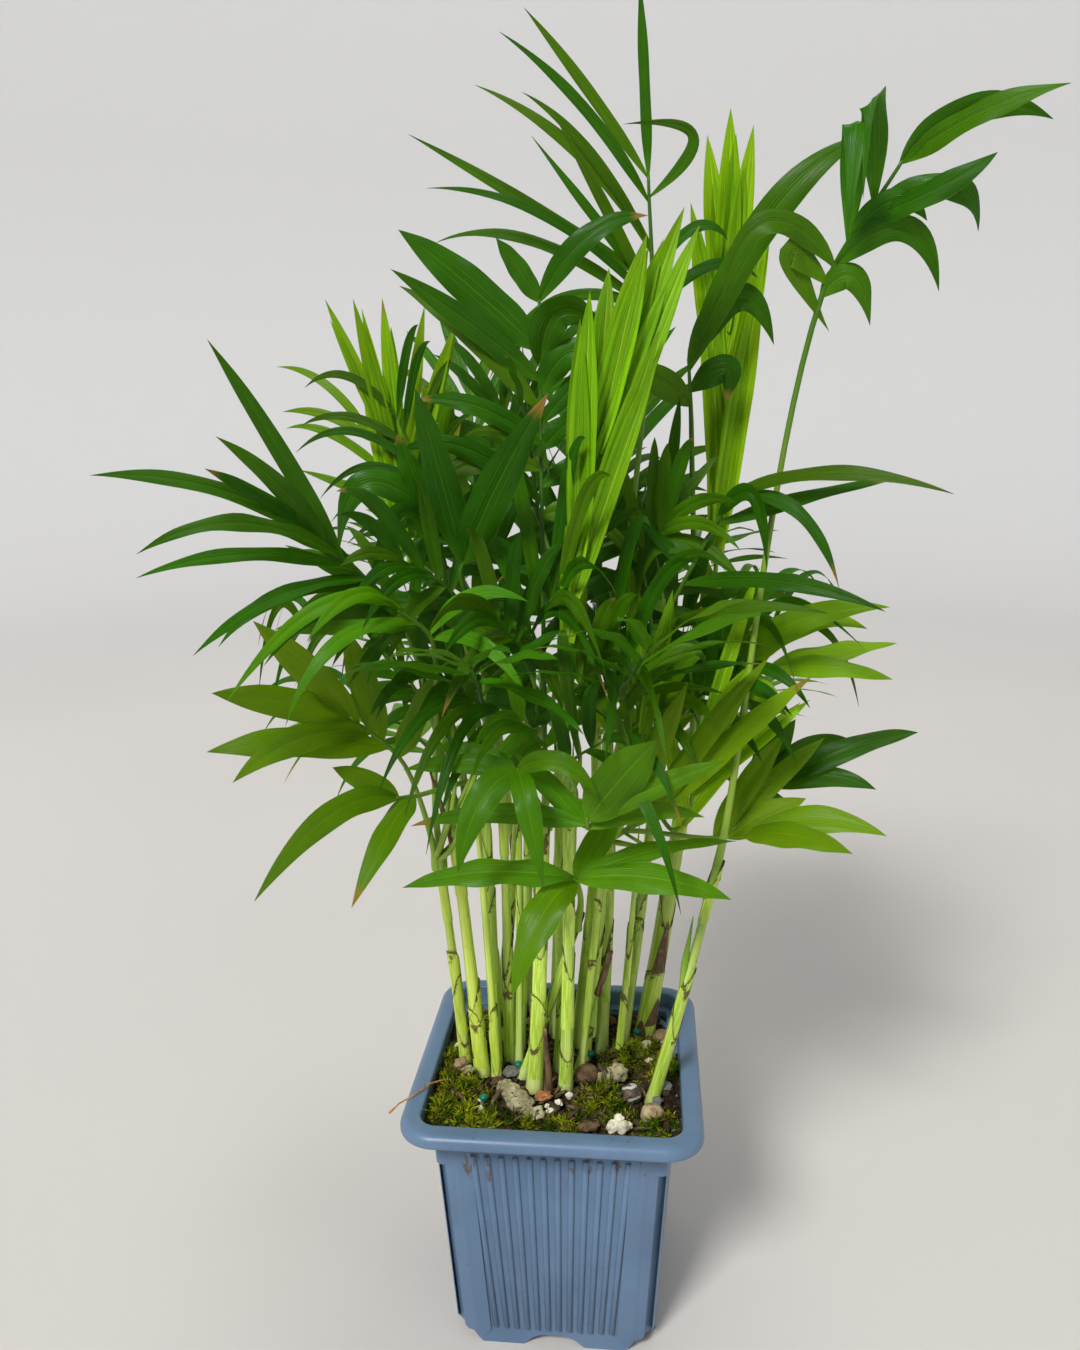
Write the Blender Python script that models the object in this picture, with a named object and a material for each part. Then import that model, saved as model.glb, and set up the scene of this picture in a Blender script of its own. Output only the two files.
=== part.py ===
# Parlour palm in a small square pot.
# Built in millimetres and scaled to metres when a mesh is made.
# The pot's underside is level, the plant rises along +Z, and the front looks along -Y.

import math
import random

import bmesh
import bpy
from mathutils import Vector
from mathutils.bvhtree import BVHTree

MM = 0.001
CLEAR = 0.3
UP = Vector((0, 0, 1))
FRONT = Vector((0, -1, 0.01))

# Pot
POT_HEIGHT = 65.0
RIM_WIDTH = 70.0
RIM_CORNER = 9.0
RIM_THICKNESS = 3.2
RIM_ROUNDING = 2.2
EDGE = 0.4
OPENING = 60.3
OPENING_CORNER = 4.5
OPENING_EDGE = 0.6
LEDGE_DEPTH = 4.0
LEDGE_WIDTH = 55.0
BODY_TOP = 56.7
BODY_BOTTOM = 49.6
BODY_CHAMFER = 5.6
WALL = 0.9
NECK_HEIGHT = 1.0
FLOOR_UNDERSIDE = 3.0
FLOOR_THICKNESS = 1.5
FOOT_LIFT = 2.8
ARCH_TOP = 8.0
ARCH_BOTTOM = 20.0
FOOT_OUTER = 32.0
FOOT_OUTER_TOP = 39.2
CORNER_POINTS = 5
RIBS = 12
RIB_RADIUS = 0.75
RIB_PROUD = 0.55
RIB_SUNK = 0.35
RIB_LOW = 4.5
RIB_HIGH = 56.5
RIB_SPAN_LOW = 28.2
RIB_SPAN_HIGH = 36.0
DRAIN_RADIUS = 3.0
DRAIN_OFFSET = 14.0
DRAIN_SIDES = 8
PAST = 1.0

# Soil and pebbles
SOIL_TOP = 59.0
SOIL_SHOULDER = 1.0
SOIL_CORNER = 5.1
PEBBLE_CUT = 0.6
PEBBLES = (
    ("pebble_pale", (-7.6, -17.4), (4.6, 3.4, 2.4)),
    ("pebble_striped", (18.0, -10.6), (2.9, 2.8, 2.7)),
    ("pebble_round", (22.6, -18.2), (3.3, 3.1, 2.6)),
)

# Stems: foot x and y, lean per millimetre of rise in x and y, height of the top, foot radius
STEM_SIDES = 7
STEM_STEPS = 3
STEM_TAPER = 0.72
STEM_SWAY = 0.35
FLARE = 1.12
FLARE_SHARE = 0.25
STEMS = {
    1: (-23.9, -0.1, -0.090, 0.00, 117, 1.45),
    2: (-19.7, -1.6, -0.078, -0.01, 127, 1.9),
    3: (-16.2, 0.9, -0.018, 0.00, 135, 1.4),
    4: (-13.2, 3.7, -0.010, 0.01, 140, 1.5),
    5: (-18.1, 17.2, 0.100, 0.05, 131, 1.6),
    6: (-11.4, 7.7, 0.056, 0.02, 145, 1.6),
    7: (-9.1, -2.4, 0.322, -0.01, 103, 1.3),
    8: (-5.7, -7.0, 0.045, -0.02, 131, 1.9),
    9: (-2.1, -9.6, -0.030, -0.02, 78, 0.9),
    10: (-2.4, 16.4, 0.020, 0.04, 143, 1.7),
    11: (2.0, -6.8, 0.018, -0.01, 133, 1.7),
    12: (3.5, 11.8, 0.094, 0.03, 153, 1.6),
    13: (5.9, 6.6, 0.096, -0.03, 120, 1.4),
    14: (10.2, 9.4, 0.033, 0.02, 137, 1.6),
    15: (15.5, 12.7, 0.109, 0.03, 131, 1.6),
    16: (21.2, 17.2, 0.140, 0.05, 137, 2.5),
    17: (23.4, -9.4, 0.223, -0.02, 121, 1.6),
    18: (-8.0, 22.0, -0.118, 0.05, 135, 1.6),
    19: (8.0, 22.0, 0.000, 0.05, 141, 1.6),
    20: (-16.0, 10.0, -0.078, 0.02, 125, 1.4),
}

# Fronds
RIB_SIDES = 3
PETIOLE_RADIUS = 0.85
RIB_END_RADIUS = 0.45
PETIOLE_STEPS = 4
RACHIS_STEPS = 4
BUNDLE_RADIUS = 1.25
BUNDLE_LIFT = 0.15
STRAIGHT_STATIONS = (0, 4, 9)
HOOKED_STATIONS = (0, 4, 7, 10)
LEAF_STEPS = 13
LEAF_WIDEST = 0.38
LEAF_ROOT_SHARE = 0.12
ROOT_SINK = 0.7
LEAF_TAPER = 1.45
LEAF_ARCH = 0.05
THICKNESS_SHARE = 0.011
LEAST_THICKNESS = 0.4
GUARD = 0.22
SEED = 11

BLUE_GREY = (0.16, 0.22, 0.32)
EARTH = (0.03, 0.022, 0.015)
STONE = (0.5, 0.46, 0.36)
PALE_GREEN = (0.42, 0.56, 0.2)
DEEP = (0.035, 0.15, 0.02)
MID = (0.07, 0.25, 0.03)
YOUNG = (0.22, 0.42, 0.05)

# Each frond has a name, the stem it tops, the first leaflet's place on the rib, the rib's end,
# the way its face looks, its leaflet width, its colour, its own leaflets and a rule for more.
# A leaflet is the share of the rib it stands at, its heading and rise in degrees and its reach,
# then, where it hooks, the heading, rise and reach of the bend, and last, if it is broader or
# narrower than its frond's others, how much.
# The rule is a leaflet count, the longest reach, the spread at foot and tip, and the droop.
FRONDS = (
    ("frond_top_right", 17, (54, -14, 244), (66, -22, 266), (0.1, -0.95, 0.3), 5.8, DEEP, (
        (0.00, -5, -30, 11, -40, 50, 12),
        (0.10, 60, -75, 9, -155, 40, 22),
        (0.22, -10, -15, 20, -40, 40, 22),
        (0.22, 180, -15, 22, -155, 45, 26),
        (0.40, -100, 0, 12, -95, 76, 40),
        (0.42, -20, 10, 14, -50, 45, 15),
        (0.56, -20, 20, 25, -35, 10, 18),
        (0.64, -20, -10, 20, -40, 25, 21),
        (0.70, -110, -5, 12, -110, 74, 34),
        (1.00, -20, 10, 25, -50, 40, 18),
        (1.00, -25, 15, 29, -40, 25, 16),
    ), None),
    ("frond_high_right", 16, (30, 4, 218), (29, 2, 233), (0, -1, 0.2), 7.0, DEEP, (
        (0.90, -15, 50, 56, -50, 60, 44),
        (1.00, -5, 10, 18, -40, 60, 27),
        (0.60, 0, -20, 8, -25, 40, 16),
        (0.40, -175, 15, 14, -155, 40, 15),
    ), None),
    ("frond_top", 12, (21, 8, 244), (20, 4, 270), (0, -1, 0.1), 4.0, DEEP, (
        (1.00, -110, 80, 37),
        (1.00, -165, 50, 40),
        (0.82, -165, 45, 44, -140, 50, 25),
        (0.86, -135, 60, 15, -25, 32, 26),
        (0.50, -170, 40, 48, -145, 50, 28),
        (0.44, -160, 47, 41, -140, 55, 27),
        (0.16, -170, 50, 40, -150, 45, 18),
        (0.08, -155, 57, 41),
        (0.30, -5, 20, 17, -30, 50, 18),
        (0.22, -172, 30, 59, -160, 30, 34),
        (0.06, -175, 25, 53, -150, 40, 35),
        (0.00, 178, 18, 50, -155, 35, 36),
        (0.00, 170, -20, 40, -160, 25, 27),
        (0.00, 175, -45, 45, -165, 10, 24),
        (0.00, 5, 15, 24, -20, 45, 21),
    ), None),
    ("frond_upper_middle", 8, (-2, -8, 158), (-2, -8, 245), (0, -1, 0.2), 5.2, DEEP, (
        (1.00, -170, 55, 15),
        (1.00, -5, 35, 27, -30, 55, 19),
        (0.89, -175, 40, 37, 1.8),
        (0.86, -5, 20, 15, -75, 60, 20, 1.7),
        (0.82, -165, 36, 37),
        (0.79, -5, 5, 15, -35, 60, 18, 1.3),
        (0.75, -178, 42, 40, -155, 50, 24),
        (0.72, -5, 45, 30),
        (0.67, -175, 20, 28, -160, 40, 17),
        (0.66, -15, 40, 16),
        (0.61, -172, -18, 29, -165, 25, 18),
        (0.57, -5, 30, 20),
        (0.53, -170, 20, 32, -155, 45, 26),
        (0.50, -10, 10, 16),
        (0.38, 0, 30, 24),
        (0.36, 178, 26, 30),
        (0.26, 5, 22, 24),
        (0.25, -165, -6, 21, -160, 35, 13),
        (0.14, 172, 18, 36, 180, 28, 20),
        (0.11, -178, 46, 18, 1.4),
        (0.10, -12, -30, 19, -15, 35, 14, 1.2),
        (0.02, -95, -8, 14, 1.4),
        (0.02, 175, 32, 20),
        (0.00, -178, 2, 33, -170, 24, 17, 1.2),
    ), None),
    ("frond_left", 2, (-32, -14, 178), (-45, -30, 199), (0, -0.8, 0.6), 5.2, DEEP, (
        (1.00, -128, 18, 47, -112, 30, 30),
        (1.00, -122, 24, 32),
        (0.95, -132, 45, 30, -110, 50, 17),
        (0.88, -140, 52, 24),
        (0.74, -120, 8, 48, -112, 30, 33),
        (0.75, -138, 60, 49),
        (0.60, -130, 5, 47, -118, 20, 31),
        (0.62, -150, 40, 24),
        (0.50, -120, -10, 45, -112, 10, 28),
        (0.36, -134, -10, 37, -118, 18, 30),
        (0.34, -160, 30, 22),
        (0.22, -124, -12, 34, -116, 25, 20),
        (0.10, -145, 0, 27, -125, 25, 13),
    ), None),
    ("frond_left_hooked", 3, (-24, -10, 191), (-26, -12, 202), (0, -0.9, 0.4), 6.8, DEEP, (
        (1.00, -175, -25, 22, -145, 45, 26),
        (0.40, -165, -38, 19, -120, 60, 23),
        (1.00, -140, 70, 20),
        (0.50, -5, 40, 20),
    ), None),
    ("frond_left_arching", 1, (-24, -22, 176), (-29, -30, 184), (0, -0.75, 0.65), 4.4, MID, (
        (1.00, -118, -10, 46, -105, 30, 30),
        (1.00, -100, -4, 42, -98, 25, 24),
        (0.60, -140, -30, 34, -130, 15, 23),
        (0.50, -160, 0, 29),
        (0.20, -10, 20, 23, -20, 55, 17),
        (0.10, -30, -20, 26, -30, 20, 16),
    ), None),
    ("frond_forked", 6, (-19, -14, 189), (-18, -15, 192), (0, -1, 0.2), 8.8, DEEP, (
        (1.00, -120, 70, 38),
        (1.00, -35, 55, 42, -55, 50, 22),
    ), None),
    ("spear_left", 4, (-34, 8, 184), (-36, 8, 210), (0, -1, 0), 6.0, YOUNG, (
        (1.00, -175, 68, 41),
        (0.80, -165, 78, 44),
        (1.00, -150, 86, 38),
        (0.80, -15, 80, 42),
        (0.60, -8, 72, 45),
        (0.30, 175, 76, 37),
        (0.10, 5, 70, 37),
    ), None),
    ("frond_left_thin", 5, (-33, 22, 187), (-48, 30, 216), (0, -1, 0.3), 3.0, MID, (
        (1.00, 165, 35, 33, 175, 60, 22),
        (1.00, 175, 18, 25, 180, 40, 15),
        (0.70, 178, 25, 29, -175, 45, 22),
        (0.40, 170, 20, 31),
        (0.50, 45, 70, 38),
        (0.20, -5, 40, 26),
    ), None),
    ("spear_middle", 11, (4, -20, 172), (10, -16, 215), (0, -1, 0), 7.0, YOUNG, (
        (1.00, 60, 82, 36),
        (1.00, 25, 75, 42),
        (0.90, 15, 70, 54),
        (0.70, 10, 68, 60),
        (0.50, 70, 82, 52),
        (0.30, 5, 72, 56),
        (0.10, 50, 82, 49),
    ), None),
    ("spear_right", 16, (37, 16, 188), (37, 14, 240), (0, -1, 0), 5.8, YOUNG, (
        (1.00, -160, 83, 40),
        (1.00, -100, 88, 44),
        (0.90, -20, 84, 46),
        (0.50, -15, 80, 53),
        (0.60, -165, 80, 48),
        (0.20, -170, 85, 60),
        (0.10, -10, 83, 62),
        (0.00, -100, 86, 56),
    ), None),
    ("frond_right", 14, (23, -4, 173), (38, -14, 206), (0, -0.8, 0.6), 4.8, DEEP, (
        (1.00, -30, 2, 44, -45, 22, 25),
        (1.00, -35, -35, 30, -45, 10, 20),
        (0.85, -35, -40, 15, -55, 50, 20),
        (0.80, -25, 16, 38),
        (0.60, 160, -45, 17, 170, 25, 15),
        (0.50, 180, 40, 16),
        (0.40, -30, -2, 44, -38, 14, 26),
        (0.20, 165, 30, 20),
        (0.10, -28, 10, 38, -42, 25, 24),
    ), None),
    ("frond_left_broad", 1, (-34, -10, 144), (-44, -18, 158), (0, -0.8, 0.6), 7.6, MID, (
        (0.90, -145, 50, 33),
        (0.50, -150, 75, 28),
        (1.00, -135, 20, 33),
        (0.70, -130, -5, 34, -125, 20, 21),
        (0.40, -145, 8, 40, -125, 20, 28),
        (0.20, 10, 60, 24),
    ), None),
    ("frond_left_low", 3, (-31, -16, 139), (-34, -20, 140), (0, -0.8, 0.6), 7.0, MID, (
        (1.00, -125, -15, 40, -125, 25, 20),
        (0.10, -110, -32, 30, -100, 0, 14),
        (1.00, -165, 30, 16),
    ), None),
    ("frond_right_broad", 15, (33, 4, 159), (49, 0, 166), (0, -0.7, 0.7), 6.6, MID, (
        (1.00, -15, 15, 28),
        (1.00, -22, 0, 27, -50, 15, 18),
        (0.60, -5, 22, 30, 10, 55, 22),
        (0.30, 100, 70, 28),
        (0.20, -20, 28, 44, -15, 50, 27),
        (0.20, -50, -5, 24, -45, 25, 14),
    ), None),
    ("frond_right_low", 16, (46, 10, 132), (50, 10, 134), (0, -0.7, 0.7), 6.0, DEEP, (
        (1.00, 0, 22, 38, -10, 32, 27),
        (0.80, 10, 30, 24, 10, 50, 16),
        (1.00, -15, 5, 26, -10, 25, 16),
        (0.40, 60, 55, 18),
        (0.24, 35, 50, 21),
        (0.08, -35, -10, 14),
    ), None),
    ("frond_right_bright", 13, (37, -2, 125), (44, -4, 127), (0, -0.6, 0.8), 7.2, MID, (
        (1.00, -18, 8, 32, -15, 30, 19),
        (1.00, -35, 0, 28, -35, 16, 14),
        (0.40, -5, 30, 21),
        (0.10, 10, 58, 30, 0.8),
        (0.20, 15, 42, 34, 0.8),
    ), None),
    ("frond_front_low", 7, (6, -24, 124), (6, -29, 126), (0, -0.4, 0.9), 8.4, MID, (
        (1.00, -5, -4, 33, -8, 14, 18),
        (1.00, 178, -6, 38, -175, 12, 20, 0.9),
        (0.50, -128, -45, 28, -128, -8, 13, 1.1),
        (0.60, 12, 10, 36, 10, 24, 18, 0.7),
        (0.20, 60, 30, 22, 0.8),
    ), None),
    ("frond_front_oval", 11, (9, -32, 139), (9, -34, 142), (0, -1, 0.2), 6.4, MID, (
        (1.00, -20, 52, 24, 2.1),
        (1.00, -8, 28, 31),
        (0.60, 175, -4, 38, 170, 10, 20),
        (0.30, 5, 5, 24, 10, 25, 13),
        (0.20, 160, 40, 22),
    ), None),
    ("frond_front_hanging", 8, (-6, -29, 150), (-5, -34, 152), (0, -0.8, 0.6), 6.6, MID, (
        (1.00, -140, -52, 24, -140, -5, 11, 1.2),
        (1.00, -60, -60, 24, -75, -5, 11),
        (0.80, -10, -18, 18, -15, 30, 13, 0.8),
        (0.60, 178, -2, 24, 180, 12, 13),
        (0.30, 168, 12, 18),
        (0.20, 140, -25, 14, 1.2),
    ), None),
    ("spear_low_right", 14, (27, 0, 126), (33, -4, 147), (0, -1, 0.2), 5.6, YOUNG, (
        (1.00, -20, 74, 45, 0.8),
        (1.00, -10, 60, 30, 1.5),
        (0.60, -5, 42, 34, -25, 45, 22),
        (0.30, 170, 76, 40),
        (0.80, 0, 68, 41),
        (0.10, 5, 52, 34),
    ), None),
    ("spear_low_middle", 13, (20, -8, 146), (20, -8, 160), (0, -1, 0.1), 5.8, YOUNG, (
        (1.00, 160, 84, 31),
        (1.00, 10, 74, 24),
        (0.50, 0, 80, 34),
        (0.30, -5, 35, 14),
        (0.10, 175, 60, 26),
    ), None),
    ("frond_inner_left", 6, (-15, 14, 166), (-29, 34, 185), (0, -0.4, 0.9), 5.4, DEEP, (),
     (10, 38, 70, 25, 0.12)),
    ("frond_back_middle", 10, (-2, 40, 169), (-4, 70, 203), (0, 0.5, 0.8), 5.2, DEEP, (),
     (12, 40, 70, 22, 0.12)),
    ("frond_back_left", 18, (-27, 44, 156), (-55, 84, 178), (0, 0.2, 1), 5.2, DEEP, (),
     (12, 40, 70, 22, 0.14)),
    ("frond_back_right", 19, (14, 44, 162), (34, 84, 179), (0, 0.2, 1), 5.2, DEEP, (),
     (12, 40, 70, 22, 0.14)),
    ("frond_back_low", 10, (-7, 50, 138), (-13, 90, 139), (0, 0.2, 1), 6.0, MID, (), (10, 38, 65, 22, 0.14)),
    ("frond_back_low_right", 15, (30, 40, 136), (51, 70, 142), (0, 0.1, 1), 6.0, MID, (),
     (8, 36, 60, 22, 0.14)),
    ("frond_back_low_left", 20, (-31, 30, 132), (-58, 60, 134), (0, 0.1, 1), 6.6, MID, (),
     (8, 36, 60, 22, 0.14)),
    ("frond_front_right", 12, (13, -10, 160), (21, -40, 178), (0, -0.2, 1), 5.6, DEEP, (),
     (10, 34, 65, 22, 0.12)),
    ("frond_front_left", 4, (-15, -16, 162), (-12, -46, 176), (0, -0.2, 1), 5.6, DEEP, (),
     (10, 34, 65, 22, 0.12)),
    ("frond_high_back", 19, (9, 30, 186), (11, 44, 220), (0, 0.9, 0.3), 4.8, DEEP, (),
     (12, 40, 65, 20, 0.10)),
    ("frond_high_back_left", 18, (-23, 36, 185), (-26, 50, 226), (0, 0.9, 0.3), 4.8, DEEP, (),
     (12, 40, 65, 20, 0.10)),
)


# Scene and materials

def clear_scene():
    for thing in list(bpy.data.objects):
        bpy.data.objects.remove(thing, do_unlink=True)


def material(name, colour, roughness):
    made = bpy.data.materials.new(name)
    made.use_nodes = True
    shader = made.node_tree.nodes["Principled BSDF"]
    shader.inputs["Base Color"].default_value = (*colour, 1)
    shader.inputs["Roughness"].default_value = roughness
    shader.inputs["Metallic"].default_value = 0.0
    return made


def mesh_object(name, points, faces, finish=None):
    mesh = bpy.data.meshes.new(name)
    mesh.from_pydata([Vector(p) * MM for p in points], [], faces)
    mesh.validate()
    made = bpy.data.objects.new(name, mesh)
    bpy.context.collection.objects.link(made)
    shell = bmesh.new()
    shell.from_mesh(mesh)
    bmesh.ops.recalc_face_normals(shell, faces=shell.faces)
    shell.to_mesh(mesh)
    shell.free()
    if finish:
        mesh.materials.append(finish)
    return made


def combine(target, tools, operation):
    """Joins or cuts the target with a collection of closed tools, then removes them.
    The leaflets graze one another where they share a root, which the manifold solver joins cleanly."""
    group = bpy.data.collections.new("tools")
    bpy.context.scene.collection.children.link(group)
    for tool in tools:
        bpy.context.collection.objects.unlink(tool)
        group.objects.link(tool)
        tool.hide_render = True
        tool.display_type = "WIRE"
    change = target.modifiers.new("combine", "BOOLEAN")
    change.operation = operation
    change.operand_type = "COLLECTION"
    change.collection = group
    change.solver = "MANIFOLD"
    changed = target.evaluated_get(bpy.context.evaluated_depsgraph_get())
    mesh = bpy.data.meshes.new_from_object(changed)
    target.modifiers.clear()
    target.data = mesh
    for tool in tools:
        bpy.data.objects.remove(tool, do_unlink=True)
    bpy.data.collections.remove(group)


def keep_largest_body(target):
    """Fills hollows that a union has sealed and drops loose scraps, by keeping one shell of faces."""
    shell = bmesh.new()
    shell.from_mesh(target.data)
    left = set(shell.faces)
    bodies = []
    while left:
        body = [left.pop()]
        for face in body:
            for edge in face.edges:
                for other in edge.link_faces:
                    if other in left:
                        left.remove(other)
                        body.append(other)
        bodies.append(body)
    bodies.sort(key=len)
    for body in bodies[:-1]:
        bmesh.ops.delete(shell, geom=body, context="FACES")
    shell.to_mesh(target.data)
    shell.free()


# Closed bodies built from rings of points

def skin(rings, tip=None):
    """Joins rings with equal point counts and closes both ends, the last one to a tip if given."""
    count = len(rings[0])
    points = [p for ring in rings for p in ring]
    faces = [tuple(reversed(range(count)))]
    for level in range(len(rings) - 1):
        low = level * count
        for i in range(count):
            j = (i + 1) % count
            faces.append((low + i, low + j, low + count + j, low + count + i))
    last = (len(rings) - 1) * count
    if tip is None:
        faces.append(tuple(range(last, last + count)))
    else:
        points.append(tip)
        faces += [(last + i, last + (i + 1) % count, len(points) - 1) for i in range(count)]
    return points, faces


def loft(name, rings, finish=None, tip=None):
    points, faces = skin(rings, tip)
    return mesh_object(name, points, faces, finish)


def quarter_turned(x, y, z, quarter):
    """A point turned by a number of right angles about the pot's axis."""
    for _ in range(quarter):
        x, y = -y, x
    return Vector((x, y, z))


def square_ring(half, corner, height, rounded):
    """A square of the given half width whose corners are arcs or straight chamfers."""
    ring = []
    for quarter in range(4):
        for k in range(CORNER_POINTS):
            share = k / (CORNER_POINTS - 1)
            if rounded:
                angle = share * math.pi / 2
                x = half - corner + corner * math.cos(angle)
                y = half - corner + corner * math.sin(angle)
            else:
                x = half - corner * share
                y = half - corner * (1 - share)
            ring.append(quarter_turned(x, y, height, quarter))
    return ring


def tube_rings(path, radii, sides, level_foot=False):
    """Rings square to the path, the first one level if asked."""
    rings = []
    for i, point in enumerate(path):
        ahead = path[min(i + 1, len(path) - 1)] - path[max(i - 1, 0)]
        along = ahead.normalized()
        if level_foot and i == 0:
            along = UP
        side = along.cross(FRONT).normalized()
        other = along.cross(side)
        rings.append([point + (side * math.cos(a) + other * math.sin(a)) * radii[i]
                      for a in (2 * math.pi * k / sides for k in range(sides))])
    return rings


# Pot, soil and pebbles

def wall_half(height, inset):
    rise = POT_HEIGHT - LEDGE_DEPTH - NECK_HEIGHT
    return BODY_BOTTOM / 2 + (BODY_TOP - BODY_BOTTOM) / 2 * height / rise - inset


def build_pot(finish):
    top = POT_HEIGHT
    flange = top - RIM_THICKNESS
    neck = top - LEDGE_DEPTH - NECK_HEIGHT
    rim = RIM_WIDTH / 2
    hole = OPENING / 2
    rounding = RIM_ROUNDING
    inner_floor = FLOOR_UNDERSIDE + FLOOR_THICKNESS
    chamfer = BODY_CHAMFER
    outer = [
        square_ring(wall_half(FLOOR_UNDERSIDE, WALL), chamfer, FLOOR_UNDERSIDE, False),
        square_ring(wall_half(0, WALL), chamfer, 0, False),
        square_ring(wall_half(0, 0), chamfer, 0, False),
        square_ring(wall_half(neck, 0), chamfer, neck - NECK_HEIGHT, False),
        square_ring(hole + WALL, OPENING_CORNER + WALL, neck, True),
        square_ring(hole + WALL, OPENING_CORNER + WALL, flange, True),
        square_ring(rim - EDGE, RIM_CORNER - EDGE, flange, True),
        square_ring(rim, RIM_CORNER, flange + EDGE, True),
    ]
    for angle in (0, 30, 60, 90):
        drop = rounding * (1 - math.sin(math.radians(angle)))
        back = rounding * (1 - math.cos(math.radians(angle)))
        outer.append(square_ring(rim - back, RIM_CORNER - back, top - drop, True))
    outer += [
        square_ring(hole + OPENING_EDGE, OPENING_CORNER + OPENING_EDGE, top, True),
        square_ring(hole, OPENING_CORNER, top - OPENING_EDGE, True),
        square_ring(hole, OPENING_CORNER, top - LEDGE_DEPTH, True),
        square_ring(LEDGE_WIDTH / 2, OPENING_CORNER, top - LEDGE_DEPTH, True),
        square_ring(wall_half(inner_floor, WALL), chamfer, inner_floor, False),
    ]
    pot = loft("pot", outer, finish)

    combine(pot, [rib for quarter in range(4) for rib in panel_ribs(quarter)], "UNION")
    combine(pot, foot_arches() + foot_corners() + drains(), "DIFFERENCE")
    return pot


def panel_ribs(quarter):
    """The upright half-round ribs of one side, wider apart at the top."""
    ribs = []
    for k in range(RIBS):
        share = k / (RIBS - 1) - 0.5
        rings = []
        for height, span in ((RIB_LOW, RIB_SPAN_LOW), (RIB_HIGH, RIB_SPAN_HIGH)):
            face = wall_half(height, 0)
            middle = span * share
            profile = ((face - RIB_SUNK, middle - RIB_RADIUS), (face + RIB_PROUD, middle),
                       (face - RIB_SUNK, middle + RIB_RADIUS))
            rings.append([quarter_turned(x, y, height, quarter) for x, y in profile])
        ribs.append(loft("rib", rings))
    return ribs


def foot_arches():
    """The low arch across the middle of each side's foot, cut right through both ways."""
    reach = RIM_WIDTH / 2
    low = ARCH_BOTTOM / 2
    high = ARCH_TOP / 2
    profile = ((-low, -PAST), (low, -PAST), (high, FOOT_LIFT), (-high, FOOT_LIFT))
    cutters = []
    for quarter in range(2):
        rings = [[quarter_turned(along, x, z, quarter) for x, z in profile] for along in (-reach, reach)]
        cutters.append(loft("arch", rings))
    return cutters


def foot_corners():
    """The foot's corners, which stand clear of the surface."""
    reach = RIM_WIDTH / 2
    cutters = []
    for quarter in range(4):
        rings = []
        for near, z in ((FOOT_OUTER / 2, -PAST), (FOOT_OUTER_TOP / 2, FOOT_LIFT)):
            ring = [(near, near), (near, reach), (reach, reach), (reach, near)]
            rings.append([quarter_turned(x, y, z, quarter) for x, y in ring])
        cutters.append(loft("corner", rings))
    return cutters


def drains():
    turns = [2 * math.pi * k / DRAIN_SIDES for k in range(DRAIN_SIDES)]
    circle = [(DRAIN_OFFSET + DRAIN_RADIUS * math.cos(a), DRAIN_OFFSET + DRAIN_RADIUS * math.sin(a))
              for a in turns]
    heights = (FLOOR_UNDERSIDE - PAST, FLOOR_UNDERSIDE + FLOOR_THICKNESS + PAST)
    cutters = []
    for quarter in range(4):
        rings = [[quarter_turned(x, y, z, quarter) for x, y in circle] for z in heights]
        cutters.append(loft("drain", rings))
    return cutters


def build_soil(finish):
    floor = FLOOR_UNDERSIDE + FLOOR_THICKNESS + CLEAR
    side = WALL + CLEAR
    shoulder = SOIL_TOP - SOIL_SHOULDER
    wide = wall_half(shoulder, side) - SOIL_SHOULDER
    rings = [
        square_ring(wall_half(floor, side) - EDGE, BODY_CHAMFER + EDGE, floor, False),
        square_ring(wide, SOIL_CORNER, shoulder, True),
        square_ring(wide - OPENING_EDGE, SOIL_CORNER, SOIL_TOP, True),
    ]
    return loft("soil", rings, finish)


def build_pebble(name, place, size, finish):
    """A squashed ball that rests its flat underside just above the soil."""
    ball = bmesh.new()
    bmesh.ops.create_icosphere(ball, subdivisions=1, radius=1)
    points = []
    for vert in ball.verts:
        z = max(vert.co.z, -PEBBLE_CUT) + PEBBLE_CUT
        points.append(Vector((place[0] + vert.co.x * size[0], place[1] + vert.co.y * size[1],
                              SOIL_TOP + CLEAR + z * size[2])))
    faces = [tuple(v.index for v in face.verts) for face in ball.faces]
    ball.free()
    return mesh_object(name, points, faces, finish)


# Stems

def stem_path(number):
    x, y, lean_x, lean_y, top, radius = STEMS[number]
    foot = Vector((x, y, SOIL_TOP + CLEAR))
    rise = top - foot.z
    path = []
    radii = []
    for k in range(STEM_STEPS + 1):
        share = k / STEM_STEPS
        sway = STEM_SWAY * math.sin(share * math.pi)
        path.append(foot + Vector((lean_x * rise * share + sway, lean_y * rise * share, rise * share)))
        radii.append(radius * (1 - (1 - STEM_TAPER) * share))
    path.insert(1, path[0].lerp(path[1], FLARE_SHARE))
    radii.insert(1, radii[0])
    radii[0] *= FLARE
    return path, radii


def build_stem(number, finish):
    path, radii = stem_path(number)
    rings = tube_rings(path, radii, STEM_SIDES, level_foot=True)
    top = path[-1].z
    for ring in (rings[0], rings[-1]):
        level = SOIL_TOP + CLEAR if ring is rings[0] else top
        for point in ring:
            point.z = level
    stem = loft("stem_%02d" % number, rings, finish)
    stem.data.shade_smooth()
    stem.data.set_sharp_from_angle(angle=math.radians(50))
    return stem


# Fronds: the rib's path and the leaflets' curves

def heading_vector(heading, rise, reach=1.0):
    h = math.radians(heading)
    r = math.radians(rise)
    return Vector((math.cos(h) * math.cos(r), math.sin(h) * math.cos(r), math.sin(r))) * reach


def hermite(a, b, leave, arrive, t):
    return (a * (2 * t**3 - 3 * t**2 + 1) + leave * (t**3 - 2 * t**2 + t)
            + b * (3 * t**2 - 2 * t**3) + arrive * (t**3 - t**2))


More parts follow.
